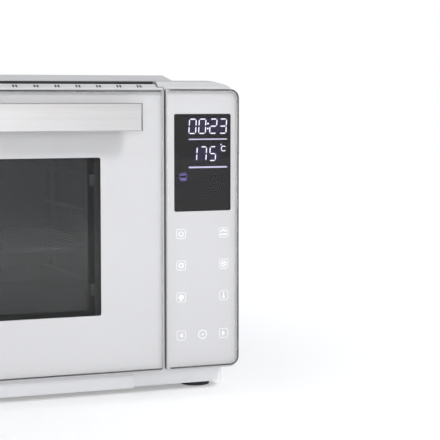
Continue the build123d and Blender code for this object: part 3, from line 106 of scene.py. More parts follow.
def mapped(tree, value, start, end, low, high):
    """From low to high while the value goes from start to end, and level outside."""
    node = tree.nodes.new("ShaderNodeMapRange")
    limits = (("From Min", start), ("From Max", end), ("To Min", low), ("To Max", high))
    for socket, limit in limits:
        node.inputs[socket].default_value = limit
    tree.links.new(value, node.inputs["Value"])
    return node.outputs["Result"]


def noise(tree, vector, scale, detail):
    """A Noise node's value on the given coordinates."""
    node = tree.nodes.new("ShaderNodeTexNoise")
    node.inputs["Detail"].default_value = detail
    tree.links.new(vector, node.inputs["Vector"])
    if isinstance(scale, (int, float)):
        node.inputs["Scale"].default_value = scale
    else:
        tree.links.new(scale, node.inputs["Scale"])
    return node.outputs["Fac"]


def place_of(tree):
    """The piece's own coordinates, in metres."""
    return tree.nodes.new("ShaderNodeTexCoord").outputs["Object"]


def split_of(tree, vector):
    """The X, Y and Z of a vector."""
    node = tree.nodes.new("ShaderNodeSeparateXYZ")
    tree.links.new(vector, node.inputs[0])
    return node.outputs


print("node helpers ready")

# %% [markdown]
# The photograph was taken in a white studio. A big soft lamp stands low in front, a smaller one high on
# the right throws the handle's shadow down and to the left, a faint one hangs overhead, and the rest of
# the light comes from all round. What the camera sees behind the oven is plain white, by Light Path, so
# no extra light falls on the oven for it. Polished edges need something dark to mirror, so for glossy
# rays alone the ceiling and the right wall are darker.
# %% World and lamps
fill_colour, fill_strength = (0.93, 0.95, 1, 1), 0.55
wall_start, wall_end, wall_dark = 0.3, 0.85, 0.8
ceiling_start, ceiling_end, ceiling_dark = 0.15, 0.8, 0.65
scene.view_settings.view_transform = "Standard"
world = bpy.data.worlds.new("studio")
scene.world = world
world.use_nodes = True
tree = world.node_tree
tree.nodes.clear()
rays = tree.nodes.new("ShaderNodeLightPath").outputs
seen = maths(tree, "MAXIMUM", rays["Is Camera Ray"], rays["Is Transmission Ray"])
seen = maths(tree, "MAXIMUM", seen, rays["Is Glossy Ray"])
fill = tree.nodes.new("ShaderNodeBackground")
fill.inputs["Color"].default_value = fill_colour
fill.inputs["Strength"].default_value = fill_strength
backdrop = tree.nodes.new("ShaderNodeBackground")
backdrop.inputs["Color"].default_value = (1, 1, 1, 1)
toward = split_of(tree, tree.nodes.new("ShaderNodeTexCoord").outputs["Generated"])
wall = mapped(tree, toward["X"], wall_start, wall_end, 0, wall_dark)
ceiling = mapped(tree, toward["Z"], ceiling_start, ceiling_end, 0, ceiling_dark)
mirrored = maths(tree, "MULTIPLY", rays["Is Glossy Ray"], maths(tree, "MAXIMUM", wall, ceiling))
tree.links.new(maths(tree, "SUBTRACT", 1, mirrored), backdrop.inputs["Strength"])
either = tree.nodes.new("ShaderNodeMixShader")
tree.links.new(seen, either.inputs[0])
tree.links.new(fill.outputs[0], either.inputs[1])
tree.links.new(backdrop.outputs[0], either.inputs[2])
tree.links.new(either.outputs[0], tree.nodes.new("ShaderNodeOutputWorld").inputs[0])


def soft_lamp(name, place, aim, side, watts):
    """A square area lamp at a place, turned towards the aim."""
    lamp = bpy.data.objects.new(name, bpy.data.lights.new(name, "AREA"))
    lamp.data.size = side
    lamp.data.energy = watts
    lamp.location = place
    lamp.rotation_euler = (Vector(aim) - Vector(place)).to_track_quat("-Z", "Y").to_euler()
    scene.collection.objects.link(lamp)


soft_lamp("front_lamp", (-0.4, -2.2, 0.4), (0, 0, 0.1), 0.8, 13)
soft_lamp("key_lamp", (0.9, -1.8, 1.6), (0, 0, 0.2), 0.5, 20)
soft_lamp("top_lamp", (0.2, -0.2, 2.4), (0, 0, 0), 1.8, 2)

# %% [markdown]
# The floor is a large pale sheet, a hair below the feet. For the camera it gives off a little light of
# its own, less near the oven than far away, just enough to turn the lit floor white while the oven's
# soft shadow stays.
# %% Floor
floor_half, floor_drop = 6, 0.5 * mm
lift_start, lift_end, lift_near, lift_far = 0.35, 1.5, 0.26, 0.68
floor_mesh = bpy.data.meshes.new("floor")
floor_mesh.from_pydata(
    [(x * floor_half, y * floor_half, -floor_drop) for x, y in ((-1, -1), (1, -1), (1, 1), (-1, 1))],
    [], [(0, 1, 2, 3)],
)
floor = bpy.data.objects.new("floor", floor_mesh)
scene.collection.objects.link(floor)
floor_paper = bpy.data.materials.new("floor_paper")
floor_paper.use_nodes = True
tree = floor_paper.node_tree
paper = tree.nodes["Principled BSDF"]
paper.inputs["Base Color"].default_value = (0.9, 0.9, 0.9, 1)
paper.inputs["Roughness"].default_value = 0.9
paper.inputs["Emission Color"].default_value = (1, 1, 1, 1)
rays = tree.nodes.new("ShaderNodeLightPath").outputs
seen = maths(tree, "MAXIMUM", rays["Is Camera Ray"], rays["Is Glossy Ray"])
seen = maths(tree, "MAXIMUM", seen, rays["Is Transmission Ray"])
reach = tree.nodes.new("ShaderNodeVectorMath")
reach.operation = "LENGTH"
tree.links.new(place_of(tree), reach.inputs[0])
lift = mapped(tree, reach.outputs["Value"], lift_start, lift_end, lift_near, lift_far)
tree.links.new(maths(tree, "MULTIPLY", seen, lift), paper.inputs["Emission Strength"])
floor_mesh.materials.append(floor_paper)
print("floor side:", 2 * floor_half, "m")

# %% [markdown]
# Many finishes share the same small effects: slow mottling, moulded grain, brushing, settled dust and
# the straw and blue tints of heated steel. Each effect is a node group, built once, with its own
# numbers in every material that uses it. The groups put out only masks, heights and colours.
# %% Node groups
def new_group(name, inputs, outputs):
    """An empty shader node group with float or vector inputs and the named outputs."""
    tree = bpy.data.node_groups.new(name, "ShaderNodeTree")
    for socket, kind, value in inputs:
        made = tree.interface.new_socket(socket, in_out="INPUT", socket_type=kind)
        made.default_value = value
    for socket, kind in outputs:
        tree.interface.new_socket(socket, in_out="OUTPUT", socket_type=kind)
    return tree, tree.nodes.new("NodeGroupInput"), tree.nodes.new("NodeGroupOutput")


def build_mottle():
    """A slow cloudy mask from 0 to 1."""
    tree, given, out = new_group(
        "mottle", [("Scale", "NodeSocketFloat", 20), ("Contrast", "NodeSocketFloat", 2)],
        [("Mask", "NodeSocketFloat")],
    )
    cloud = noise(tree, place_of(tree), given.outputs["Scale"], 4)
    spread = maths(tree, "MULTIPLY", maths(tree, "SUBTRACT", cloud, 0.5), given.outputs["Contrast"])
    tree.links.new(maths(tree, "ADD", spread, 0.5, clamp=True), out.inputs["Mask"])
    return tree


def build_grain():
    """The fine pits and pimples of a moulded or painted surface."""
    tree, given, out = new_group(
        "grain", [("Scale", "NodeSocketFloat", 900)], [("Height", "NodeSocketFloat")]
    )
    where = place_of(tree)
    cells = tree.nodes.new("ShaderNodeTexVoronoi")
    cells.feature = "SMOOTH_F1"
    tree.links.new(where, cells.inputs["Vector"])
    tree.links.new(given.outputs["Scale"], cells.inputs["Scale"])
    fine = noise(tree, where, maths(tree, "MULTIPLY", given.outputs["Scale"], 1.7), 2)
    tree.links.new(maths(tree, "ADD", cells.outputs["Distance"], fine), out.inputs["Height"])
    return tree


def build_brushing():
    """Fine lines along one axis: the coordinates are squeezed along it before the noise."""
    tree, given, out = new_group(
        "brushing", [("Squeeze", "NodeSocketVector", (0.01, 1, 1)), ("Scale", "NodeSocketFloat", 3000)],
        [("Lines", "NodeSocketFloat"), ("Bands", "NodeSocketFloat")],
    )
    squeezed = tree.nodes.new("ShaderNodeVectorMath")
    squeezed.operation = "MULTIPLY"
    tree.links.new(place_of(tree), squeezed.inputs[0])
    tree.links.new(given.outputs["Squeeze"], squeezed.inputs[1])
    lines = noise(tree, squeezed.outputs[0], given.outputs["Scale"], 3)
    wide = noise(tree, squeezed.outputs[0], maths(tree, "MULTIPLY", given.outputs["Scale"], 0.12), 2)
    tree.links.new(lines, out.inputs["Lines"])
    tree.links.new(wide, out.inputs["Bands"])
    return tree


def build_dust():
    """Where dust settles: faces that look up, broken by noise."""
    tree, given, out = new_group(
        "dust", [("Amount", "NodeSocketFloat", 0.2)], [("Mask", "NodeSocketFloat")]
    )
    facing = split_of(tree, tree.nodes.new("ShaderNodeNewGeometry").outputs["Normal"])
    upward = maths(tree, "POWER", maths(tree, "MAXIMUM", facing["Z"], 0), 2)
    broken = maths(tree, "MULTIPLY", upward, noise(tree, place_of(tree), 60, 6))
    tree.links.new(
        maths(tree, "MULTIPLY", broken, given.outputs["Amount"], clamp=True), out.inputs["Mask"]
    )
    return tree


def build_heat():
    """Straw, purple and blue bands that heat leaves on bright steel, by height and noise."""
    tree, given, out = new_group(
        "heat_tint", [("Scale", "NodeSocketFloat", 14)], [("Color", "NodeSocketColor")]
    )
    ramp = tree.nodes.new("ShaderNodeValToRGB")
    shades = ((0.3, (0.42, 0.41, 0.40)), (0.48, (0.45, 0.36, 0.24)), (0.6, (0.30, 0.22, 0.26)),
              (0.72, (0.24, 0.28, 0.36)))
    for place, (position, shade) in enumerate(shades):
        stop = ramp.color_ramp.elements[place] if place < 2 else ramp.color_ramp.elements.new(position)
        stop.position = position
        stop.color = (*shade, 1)
    tree.links.new(noise(tree, place_of(tree), given.outputs["Scale"], 5), ramp.inputs["Fac"])
    tree.links.new(ramp.outputs["Color"], out.inputs["Color"])
    return tree


def build_fibres():
    """Crossing fibres of mineral wool: the larger of two stretched noises."""
    tree, given, out = new_group(
        "fibres", [("Scale", "NodeSocketFloat", 500)], [("Height", "NodeSocketFloat")]
    )
    layers = []
    for squeeze in ((0.15, 1, 1), (1, 0.15, 1), (1, 1, 0.15)):
        stretched = tree.nodes.new("ShaderNodeVectorMath")
        stretched.operation = "MULTIPLY"
        stretched.inputs[1].default_value = squeeze
        tree.links.new(place_of(tree), stretched.inputs[0])
        layers.append(noise(tree, stretched.outputs[0], given.outputs["Scale"], 3))
    highest = maths(tree, "MAXIMUM", maths(tree, "MAXIMUM", layers[0], layers[1]), layers[2])
    tree.links.new(highest, out.inputs["Height"])
    return tree


def build_tracks():
    """Copper tracks under a circuit board's varnish, as a stepped cell pattern."""
    tree, given, out = new_group(
        "tracks", [("Scale", "NodeSocketFloat", 180)], [("Mask", "NodeSocketFloat")]
    )
    cells = tree.nodes.new("ShaderNodeTexVoronoi")
    cells.distance = "CHEBYCHEV"
    cells.feature = "DISTANCE_TO_EDGE"
    tree.links.new(place_of(tree), cells.inputs["Vector"])
    tree.links.new(given.outputs["Scale"], cells.inputs["Scale"])
    tree.links.new(maths(tree, "LESS_THAN", cells.outputs["Distance"], 0.12), out.inputs["Mask"])
    return tree


groups = {
    tree.name: tree
    for tree in (
        build_mottle(), build_grain(), build_brushing(), build_dust(), build_heat(), build_fibres(),
        build_tracks(),
    )
}
print("node groups:", sorted(groups))

# %% [markdown]
# A finish is a Principled shader whose colour and roughness move a little between two values, with a
# bump for its grain. One helper wires these for every finish, because paint, plastic, rubber and metal
# differ only in their numbers.
# %% Helpers for finishes
finishes = {}
dust_shade = (0.5, 0.49, 0.47)


class Finish:
    """One material being built, with short calls for the steps that finishes share."""

    def __init__(self, name, roughness=0.5, metallic=0.0):
        self.made = bpy.data.materials.new(name)
        self.made.use_nodes = True
        self.tree = self.made.node_tree
        self.shader = self.tree.nodes["Principled BSDF"]
        self.set("Roughness", roughness)
        self.set("Metallic", metallic)
        finishes[name] = self.made

    def set(self, socket, value):
        """Puts a plain number or colour on one of the shader's sockets."""
        if isinstance(value, tuple) and len(value) == 3:
            value = (*value, 1)
        self.shader.inputs[socket].default_value = value

    def group(self, name, **values):
        """A shared effect with this finish's numbers."""
        node = self.tree.nodes.new("ShaderNodeGroup")
        node.node_tree = groups[name]
        for socket, value in values.items():
            node.inputs[socket].default_value = value
        return node

    def blend(self, mask, low, high, socket="Base Color"):
        """A colour that goes from low to high with the mask. Low may be another layer's colour."""
        mix = self.tree.nodes.new("ShaderNodeMix")
        mix.data_type = "RGBA"
        if isinstance(low, tuple):
            mix.inputs["A"].default_value = (*low, 1)
        else:
            self.tree.links.new(low, mix.inputs["A"])
        mix.inputs["B"].default_value = (*high, 1)
        self.tree.links.new(mask, mix.inputs["Factor"])
        self.tree.links.new(mix.outputs["Result"], self.shader.inputs[socket])
        return mix.outputs["Result"]

    def dusty(self, below, amount):
        """Grey dust over the colour below, on faces that look up."""
        self.blend(self.group("dust", Amount=amount).outputs["Mask"], below, dust_shade)

    def roughen(self, mask, low, high):
        """Roughness from low to high with the mask."""
        self.tree.links.new(mapped(self.tree, mask, 0, 1, low, high), self.shader.inputs["Roughness"])

    def bump(self, height, depth, strength=0.5):
        """A bump of the given depth in metres."""
        node = self.tree.nodes.new("ShaderNodeBump")
        node.inputs["Strength"].default_value = strength
        node.inputs["Distance"].default_value = depth
        self.tree.links.new(height, node.inputs["Height"])
        self.tree.links.new(node.outputs["Normal"], self.shader.inputs["Normal"])

    def see_through(self):
        """Lets lamplight and scattered light pass the glass straight, as through a thin pane.

        Both kinds of ray have to pass: with only one of them, what lies behind is lit twice."""
        rays = self.tree.nodes.new("ShaderNodeLightPath")
        clear = self.tree.nodes.new("ShaderNodeBsdfTransparent")
        seen = self.shader
        for kind in ("Is Diffuse Ray", "Is Shadow Ray"):
            mix = self.tree.nodes.new("ShaderNodeMixShader")
            self.tree.links.new(rays.outputs[kind], mix.inputs[0])
            self.tree.links.new(seen.outputs[0], mix.inputs[1])
            self.tree.links.new(clear.outputs[0], mix.inputs[2])
            seen = mix
        self.tree.links.new(seen.outputs[0], self.tree.nodes["Material Output"].inputs[0])


def moulded(name, low, high, roughness, scale, depth, dust):
    """A moulded plastic or rubber: mottled colour, fine grain and a little dust on top."""
    finish = Finish(name)
    cloud = finish.group("mottle", Scale=26, Contrast=2.2).outputs["Mask"]
    finish.dusty(finish.blend(cloud, low, high), dust)
    finish.roughen(cloud, roughness - 0.06, roughness + 0.06)
    finish.bump(finish.group("grain", Scale=scale).outputs["Height"], depth * mm)


def brushed(name, low, high, roughness, squeeze, scale, depth):
    """A brushed or rolled metal with its lines along the squeezed axis."""
    finish = Finish(name, metallic=1)
    lines = finish.group("brushing", Squeeze=squeeze, Scale=scale)
    finish.blend(lines.outputs["Bands"], low, high)
    finish.roughen(lines.outputs["Lines"], roughness - 0.08, roughness + 0.1)
    finish.bump(lines.outputs["Lines"], depth * mm)


def dress(node, finish):
    """Gives a piece of the frame its finish."""
    materials = frame["nodes"][node].data.materials
    materials.clear()
    materials.append(finishes[finish])


print("helpers for finishes ready")

# %% [markdown]
# The outside is pale: satin silver-white paint on the casing, the same shade moulded in plastic for
# bezel, plinth, tray and tank lid, and a cool white print behind the glass. The colours are those that
# the photograph shows on lit faces, less what the gloss adds.
# %% Pale outside finishes
def make_casing_paint():
    """Satin paint under a thin clear coat."""
    finish = Finish("casing_paint")
    cloud = finish.group("mottle", Scale=9, Contrast=1.4).outputs["Mask"]
    finish.dusty(finish.blend(cloud, (0.48, 0.48, 0.485), (0.51, 0.51, 0.515)), 0.12)
    finish.roughen(cloud, 0.32, 0.4)
    finish.set("Coat Weight", 0.3)
    finish.set("Coat Roughness", 0.12)
    finish.bump(finish.group("grain", Scale=1400).outputs["Height"], 0.012 * mm)


def make_mask_print():
    """The even white print behind the front glass."""
    finish = Finish("mask_print")
    cloud = finish.group("mottle", Scale=5, Contrast=1.2).outputs["Mask"]
    finish.blend(cloud, (0.6, 0.594, 0.6), (0.62, 0.614, 0.62))
    finish.roughen(cloud, 0.45, 0.55)


make_casing_paint()
make_mask_print()
moulded("lid_plastic", (0.60, 0.60, 0.61), (0.63, 0.63, 0.64), 0.36, 1400, 0.012, 0.12)
moulded("bezel_plastic", (0.62, 0.62, 0.62), (0.66, 0.66, 0.66), 0.38, 1300, 0.014, 0.1)
moulded("plinth_plastic", (0.85, 0.85, 0.865), (0.88, 0.88, 0.895), 0.42, 1100, 0.018, 0.05)
moulded("tray_plastic", (0.87, 0.87, 0.89), (0.9, 0.9, 0.92), 0.4, 1100, 0.018, 0.05)
print("pale finishes made, finishes:", len(finishes))

# %% [markdown]
# Three kinds of glass: the clear front panes, the inner pane with its grey heat-reflecting layer, and
# the tank's clear plastic. A thin pane should let light through straight, so for shadow rays and for
# scattered ones the shader gives way to a transparent one, and the print behind the glass is lit once.
# %% Glass and clear plastic
def glassy(name, tint, index, low, high):
    """Clear glass or plastic, whose polish varies a little from low to high."""
    finish = Finish(name)
    finish.set("Base Color", tint)
    finish.set("Transmission Weight", 1.0)
    finish.set("IOR", index)
    finish.roughen(finish.group("mottle", Scale=12, Contrast=2).outputs["Mask"], low, high)
    finish.see_through()


glassy("front_glass", (0.97, 0.975, 0.98), 1.22, 0.0, 0.012)
glassy("pane", (0.1, 0.105, 0.11), 1.36, 0.01, 0.03)
glassy("clear_plastic", (0.86, 0.9, 0.92), 1.46, 0.02, 0.06)
print("glass made, finishes:", len(finishes))

# %% [markdown]
# Metals are told apart by the direction and depth of their lines, by tint and by wear. The handle's
# lines run along its length. Sheets that nobody sees are galvanised, with soft crystal patches.
# %% Metals
brushed("handle_steel", (0.5, 0.49, 0.495), (0.6, 0.59, 0.595), 0.3, (0.006, 1, 1), 2600, 0.008)
brushed("cavity_steel", (0.36, 0.36, 0.36), (0.44, 0.44, 0.43), 0.34, (1, 0.02, 1), 2200, 0.006)
brushed("bright_wire", (0.62, 0.62, 0.62), (0.7, 0.7, 0.7), 0.14, (1, 1, 1), 700, 0.002)
brushed("fastener", (0.5, 0.5, 0.47), (0.62, 0.61, 0.58), 0.28, (1, 1, 1), 1500, 0.006)
brushed("wheel_metal", (0.5, 0.5, 0.5), (0.6, 0.6, 0.61), 0.36, (1, 1, 1), 900, 0.02)


def make_trim_metal():
    """Dark polished edging; along the seam between door and column it is satin and painted pale, a painted
    light that lifts the shade in the narrow gap.
    """
    finish = Finish("trim_metal")
    tree = finish.tree
    where = split_of(tree, place_of(tree))
    away = maths(tree, "ABSOLUTE", maths(tree, "SUBTRACT", where["X"], panel_left))
    # Painted light: within a few millimetres of the seam the colour turns pale, to lift the shade in the
    # gap between door and column.
    pale = mapped(tree, away, 3 * mm, 6 * mm, 1, 0)
    finish.blend(pale, (0.1, 0.1, 0.102), (0.5, 0.5, 0.5))
    tree.links.new(maths(tree, "SUBTRACT", 1, pale), finish.shader.inputs["Metallic"])
    finish.roughen(finish.group("mottle", Scale=300, Contrast=1.5).outputs["Mask"], 0.2, 0.24)


def make_sheet_steel():
    """Galvanised sheet with soft crystal patches, told apart by the cells' own random colours."""
    finish = Finish("sheet_steel", metallic=1)
    crystals = finish.tree.nodes.new("ShaderNodeTexVoronoi")
    crystals.inputs["Scale"].default_value = 150
    finish.tree.links.new(place_of(finish.tree), crystals.inputs["Vector"])
    patch = maths(finish.tree, "FRACT", maths(finish.tree, "MULTIPLY", crystals.outputs["Color"], 3))
    finish.blend(patch, (0.5, 0.51, 0.52), (0.56, 0.57, 0.58))
    finish.roughen(patch, 0.38, 0.46)
    finish.bump(crystals.outputs["Distance"], 0.01 * mm)


def make_inner_door_steel():
    """Black enamel on the door's inner panel."""
    finish = Finish("inner_door_steel")
    cloud = finish.group("mottle", Scale=14, Contrast=2).outputs["Mask"]
    finish.blend(cloud, (0.022, 0.022, 0.023), (0.03, 0.03, 0.031))
    finish.roughen(cloud, 0.3, 0.42)
    finish.set("Coat Weight", 0.25)
    finish.set("Coat Roughness", 0.1)
    finish.bump(finish.group("grain", Scale=700).outputs["Height"], 0.02 * mm)


def make_heater_steel():
    """Steel with the straw and blue tints of heat."""
    finish = Finish("heater_steel", metallic=1)
    tint = finish.group("heat_tint", Scale=16).outputs["Color"]
    finish.tree.links.new(tint, finish.shader.inputs["Base Color"])
    finish.roughen(finish.group("mottle", Scale=60, Contrast=3).outputs["Mask"], 0.35, 0.6)
    finish.bump(finish.group("grain", Scale=1500).outputs["Height"], 0.02 * mm)


def make_motor_metal():
    """Dark lacquered metal, for motors and for the door's inner screws."""
    finish = Finish("motor_metal", metallic=0.6)
    cloud = finish.group("mottle", Scale=40, Contrast=3).outputs["Mask"]
    finish.blend(cloud, (0.09, 0.09, 0.095), (0.15, 0.15, 0.155))
    finish.roughen(cloud, 0.4, 0.55)
    finish.bump(finish.group("grain", Scale=1000).outputs["Height"], 0.03 * mm)


make_trim_metal()
make_sheet_steel()
make_inner_door_steel()
make_heater_steel()
make_motor_metal()
print("metals made, finishes:", len(finishes))

# %% [markdown]
# What is left is dark plastic and rubber, the milky hoses, the boards with their copper tracks and the
# mineral wool. Then every piece gets the finish of its slot, apart from three that look otherwise.
# %% Plastics, rubbers, boards and wool
moulded("black_plastic", (0.014, 0.014, 0.015), (0.022, 0.022, 0.024), 0.5, 900, 0.03, 0.2)
moulded("foot_rubber", (0.012, 0.012, 0.012), (0.02, 0.02, 0.02), 0.72, 600, 0.05, 0.2)
moulded("seal_rubber", (0.05, 0.05, 0.052), (0.075, 0.075, 0.078), 0.6, 800, 0.03, 0.1)
moulded("hose_rubber", (0.62, 0.61, 0.57), (0.7, 0.69, 0.65), 0.35, 900, 0.02, 0.1)
moulded("well_plastic", (0.2, 0.2, 0.21), (0.26, 0.26, 0.27), 0.45, 900, 0.03, 0.15)


def make_circuit():
    """A green board whose tracks show paler and raised under the varnish."""
    finish = Finish("circuit", roughness=0.3)
    tracks = finish.group("tracks", Scale=190).outputs["Mask"]
    finish.blend(tracks, (0.012, 0.06, 0.028), (0.03, 0.14, 0.06))
    finish.set("Coat Weight", 0.5)
    finish.bump(tracks, 0.03 * mm)


def make_wool():
    """Yellowish mineral wool."""
    finish = Finish("wool", roughness=0.95)
    fibres = finish.group("fibres", Scale=420).outputs["Height"]
    finish.blend(fibres, (0.42, 0.38, 0.27), (0.72, 0.68, 0.55))
    finish.set("Sheen Weight", 0.3)
    finish.bump(fibres, 0.6 * mm, 0.8)


make_circuit()
make_wool()
for part in frame["record"]["subparts"]:
    dress(part["node"], part["material_slot"])
dress("glass_clips", "black_plastic")
dress("lamp_glass", "front_glass")
dress("front_frame", "cavity_steel")
print("finishes:", len(finishes))

# %% [markdown]
# The display and the keys give their own light. The digits are nearly white, the rules and the badge more
# violet, and round the digits the dark face carries a painted halo of their light. That halo is a node
# group:
# a soft box round each row, from how far a point lies outside it.
# %% Lit finishes
def build_painted_halo():
    """A soft box in the front view: exp(-distance outside the box / reach)."""
    tree, given, out = new_group(
        "painted_halo",
        [("Centre X", "NodeSocketFloat", 0), ("Centre Z", "NodeSocketFloat", 0),
         ("Half X", "NodeSocketFloat", 0.01), ("Half Z", "NodeSocketFloat", 0.01),
         ("Reach", "NodeSocketFloat", 0.004)],
        [("Mask", "NodeSocketFloat")],
    )
    where = split_of(tree, place_of(tree))
    past = []
    for axis in "XZ":
        away = maths(tree, "SUBTRACT", where[axis], given.outputs["Centre " + axis])
        away = maths(tree, "SUBTRACT", maths(tree, "ABSOLUTE", away), given.outputs["Half " + axis])
        past.append(maths(tree, "POWER", maths(tree, "MAXIMUM", away, 0), 2))
    distance = maths(tree, "SQRT", maths(tree, "ADD", *past))
    ratio = maths(tree, "DIVIDE", distance, given.outputs["Reach"])
    tree.links.new(maths(tree, "EXPONENT", maths(tree, "MULTIPLY", ratio, -1)), out.inputs["Mask"])
    return tree


def lit(name, shade, strength, base):
    """A coloured light with a faint unevenness, over a base of the same shade."""
    finish = Finish(name, roughness=0.5)
    cloud = finish.group("mottle", Scale=300, Contrast=1.5).outputs["Mask"]
    finish.blend(cloud, tuple(0.9 * v for v in base), base)
    finish.blend(cloud, tuple(0.85 * v for v in shade), shade, "Emission Color")
    finish.set("Emission Strength", strength)


time_row, heat_row = 281.7 * mm, 252.9 * mm
rows_middle = panel_left + 48.3 * mm
row_half, time_half, heat_half, halo_reach = 5 * mm, 18 * mm, 12 * mm, 2.2 * mm
groups["painted_halo"] = build_painted_halo()
lit("lit_figure", (0.82, 0.79, 1), 1.05, (0.3, 0.3, 0.33))
lit("lit_rule", (0.5, 0.45, 0.66), 0.9, (0.2, 0.2, 0.24))
lit("lit_badge", (0.17, 0.1, 0.5), 0.6, (0.05, 0.04, 0.1))
lit("lit_symbol", (1, 0.98, 1), 0.42, (0.7, 0.7, 0.71))
lit("lit_outline", (1, 0.97, 1), 0.27, (0.7, 0.7, 0.71))
# Painted shade: the dark rubber of the strips that stand in for the shadow in the gaps round the trims.
moulded("shade_gasket_rubber", (0.16, 0.16, 0.165), (0.2, 0.2, 0.205), 0.6, 900, 0.02, 0.05)
# Painted shade and print: one black for the bars in the door's slots and for the tank's printed marks.
moulded("shade_and_print_black", (0.012, 0.012, 0.012), (0.02, 0.02, 0.02), 0.8, 900, 0.02, 0.05)


def make_display_black():
    """The dark face behind the display's window, with a painted violet halo of the digits' light on it."""
    finish = Finish("display_black", roughness=0.6)
    cloud = finish.group("mottle", Scale=30, Contrast=1.5).outputs["Mask"]
    finish.blend(cloud, (0.011, 0.01, 0.011), (0.014, 0.013, 0.014))
    finish.roughen(cloud, 0.5, 0.65)
    finish.set("Specular IOR Level", 0.05)
    painted_halos = [
        finish.group("painted_halo", **{
            "Centre X": rows_middle, "Centre Z": row, "Half X": half, "Half Z": row_half,
            "Reach": halo_reach,
        }).outputs["Mask"]
        for row, half in ((time_row, time_half), (heat_row, heat_half))
    ]
    # Painted light: a violet halo of the digits' light on the dark face, fading with distance from each
    # row.
    finish.blend(maths(finish.tree, "MAXIMUM", *painted_halos), (0, 0, 0), (0.011, 0.008, 0.035), "Emission Color")
    finish.set("Emission Strength", 1.0)


make_display_black()
dress("display_module", "display_black")
print("lit finishes added, finishes:", len(finishes))

# %% [markdown]
# The small pieces that the solids leave out are surfaces worked out with numpy. Nearly all the lit
# figures, key symbols and seals are ribbons: a flat path in a front view, with a width at each point.
# A lathe makes the screw heads, and a sheet pushed up by a formula makes the rear hoods.
# %% Helpers for meshes
def joined(parts):
    """Several (points, quads) pairs as one, with the quads renumbered."""
    starts = np.cumsum([0] + [len(points) for points, quads in parts[:-1]])
    points = np.concatenate([points for points, quads in parts])
    return points, np.concatenate([quads + start for (_, quads), start in zip(parts, starts)])


def outward(points, quads):
    """Turns a closed shell the right way round: its signed volume has to be above zero.

    The volume is the sum over the faces of the triple product of three corners."""
    a, b, c, d = (points[quads[:, place]] for place in range(4))
    volume = np.einsum("ij,ij->", a, np.cross(b, c)) + np.einsum("ij,ij->", a, np.cross(c, d))
    return (points, quads[:, ::-1]) if volume < 0 else (points, quads)


def grid(points, closed=False):
    """Quads between neighbours in a grid of rings, each ring being closed."""
    rows, columns = points.shape[:2]
    index = np.arange(rows * columns).reshape(rows, columns)
    index = np.hstack([index, index[:, :1]])
    if closed:
        index = np.vstack([index, index[:1]])
    quads = np.stack([index[:-1, :-1], index[1:, :-1], index[1:, 1:], index[:-1, 1:]], axis=-1)
    return points.reshape(-1, 3), quads.reshape(-1, 4)


def piece(name, parts, finish, body, smooth=30):
    """A new object from (points, quads) pairs, riding on a body."""
    points, quads = joined([outward(*part) for part in parts])
    mesh = bpy.data.meshes.new(name)
    mesh.from_pydata(points.tolist(), [], quads.tolist())
    mesh.polygons.foreach_set("use_smooth", np.ones(len(quads), dtype=bool))
    mesh.set_sharp_from_angle(angle=math.radians(smooth))
    mesh.materials.append(finishes[finish])
    made = bpy.data.objects.new(name, mesh)
    scene.collection.objects.link(made)
    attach(made, body)
    print(name, "faces:", len(quads))
    return made


def ribbon(path, width, front, back, closed=False):
    """A flat bar along a path of (x, z) points, as thick as front to back.

    Each edge lies half the width to one side of the path, along the path's normal there."""
    path = np.asarray(path, dtype=float)
    width = np.broadcast_to(width, len(path))[:, None]
    if closed:
        along = np.roll(path, -1, axis=0) - np.roll(path, 1, axis=0)
    else:
        along = np.gradient(path, axis=0)
    along /= np.linalg.norm(along, axis=1, keepdims=True)
    side = along[:, ::-1] * (-1, 1) * width / 2
    left, right = path + side, path - side
    corners = ((left, front), (right, front), (right, back), (left, back))
    rings = np.stack(
        [np.column_stack([edge[:, 0], np.full(len(path), y), edge[:, 1]]) for edge, y in corners],
        axis=1,
    )
    points, quads = grid(rings, closed)
    if not closed:
        ends = np.arange(4), len(points) - 1 - np.arange(4)
        quads = np.vstack([quads, ends[0], ends[1]])
    return points, quads


def arc(centre, radius, start, end, count=24):
    """Points on a circle from one angle to another, in degrees: centre + radius (cos, sin)."""
    angle = np.radians(np.linspace(start, end, count))
    return np.asarray(centre) + np.column_stack([np.cos(angle), np.sin(angle)]) * radius


def spot(centre, radius, front, back):
    """A filled disc, as a ribbon whose width is the circle's chord at each place."""
    t = np.cos(np.linspace(math.pi, 0.0, 17)) * 0.999
    path = np.column_stack([centre[0] + radius * t, np.full(len(t), centre[1])])
    return ribbon(path, 2 * radius * np.sqrt(1 - t**2), front, back)


def rounded_path(low, high, radius):
    """The points of a rectangle with round corners, once round from the lower right corner."""
    corners = (
        (high[0] - radius, low[1] + radius, -90), (high[0] - radius, high[1] - radius, 0),
        (low[0] + radius, high[1] - radius, 90), (low[0] + radius, low[1] + radius, 180),
    )
    return np.vstack([arc((x, z), radius, turn, turn + 90, 7) for x, z, turn in corners])


print("helpers for meshes ready")

# %% [markdown]
# The display shows a running time and a temperature, as every such oven does. Each figure has up to seven
# bars with pointed ends, leaning a little to the right, and stands just in front of the dark face. Two
# rules lie under the rows, and a small badge with two bars stands at the left.
# %% Display figures
figure_front = glass_low.y + 4.38 * mm
figure_back = glass_low.y + 4.52 * mm
lean = 0.06
bar_width = 1.12 * mm
bar_stops = np.array([0.1, 0.2, 0.8, 0.9])
bar_taper = np.array([0.45, 1, 1, 0.45])
figure_bars = {
    "top": ((-1, 1), (1, 1)), "upper_left": ((-1, 1), (-1, 0)), "upper_right": ((1, 1), (1, 0)),
    "middle": ((-1, 0), (1, 0)), "lower_left": ((-1, 0), (-1, -1)), "lower_right": ((1, 0), (1, -1)),
    "bottom": ((-1, -1), (1, -1)),
}
dark_bars = {
    "0": ("middle",), "1": ("top", "upper_left", "middle", "lower_left", "bottom"),
    "2": ("upper_left", "lower_right"), "3": ("upper_left", "lower_left"),
    "5": ("upper_right", "lower_left"), "7": ("upper_left", "middle", "lower_left", "bottom"),
}


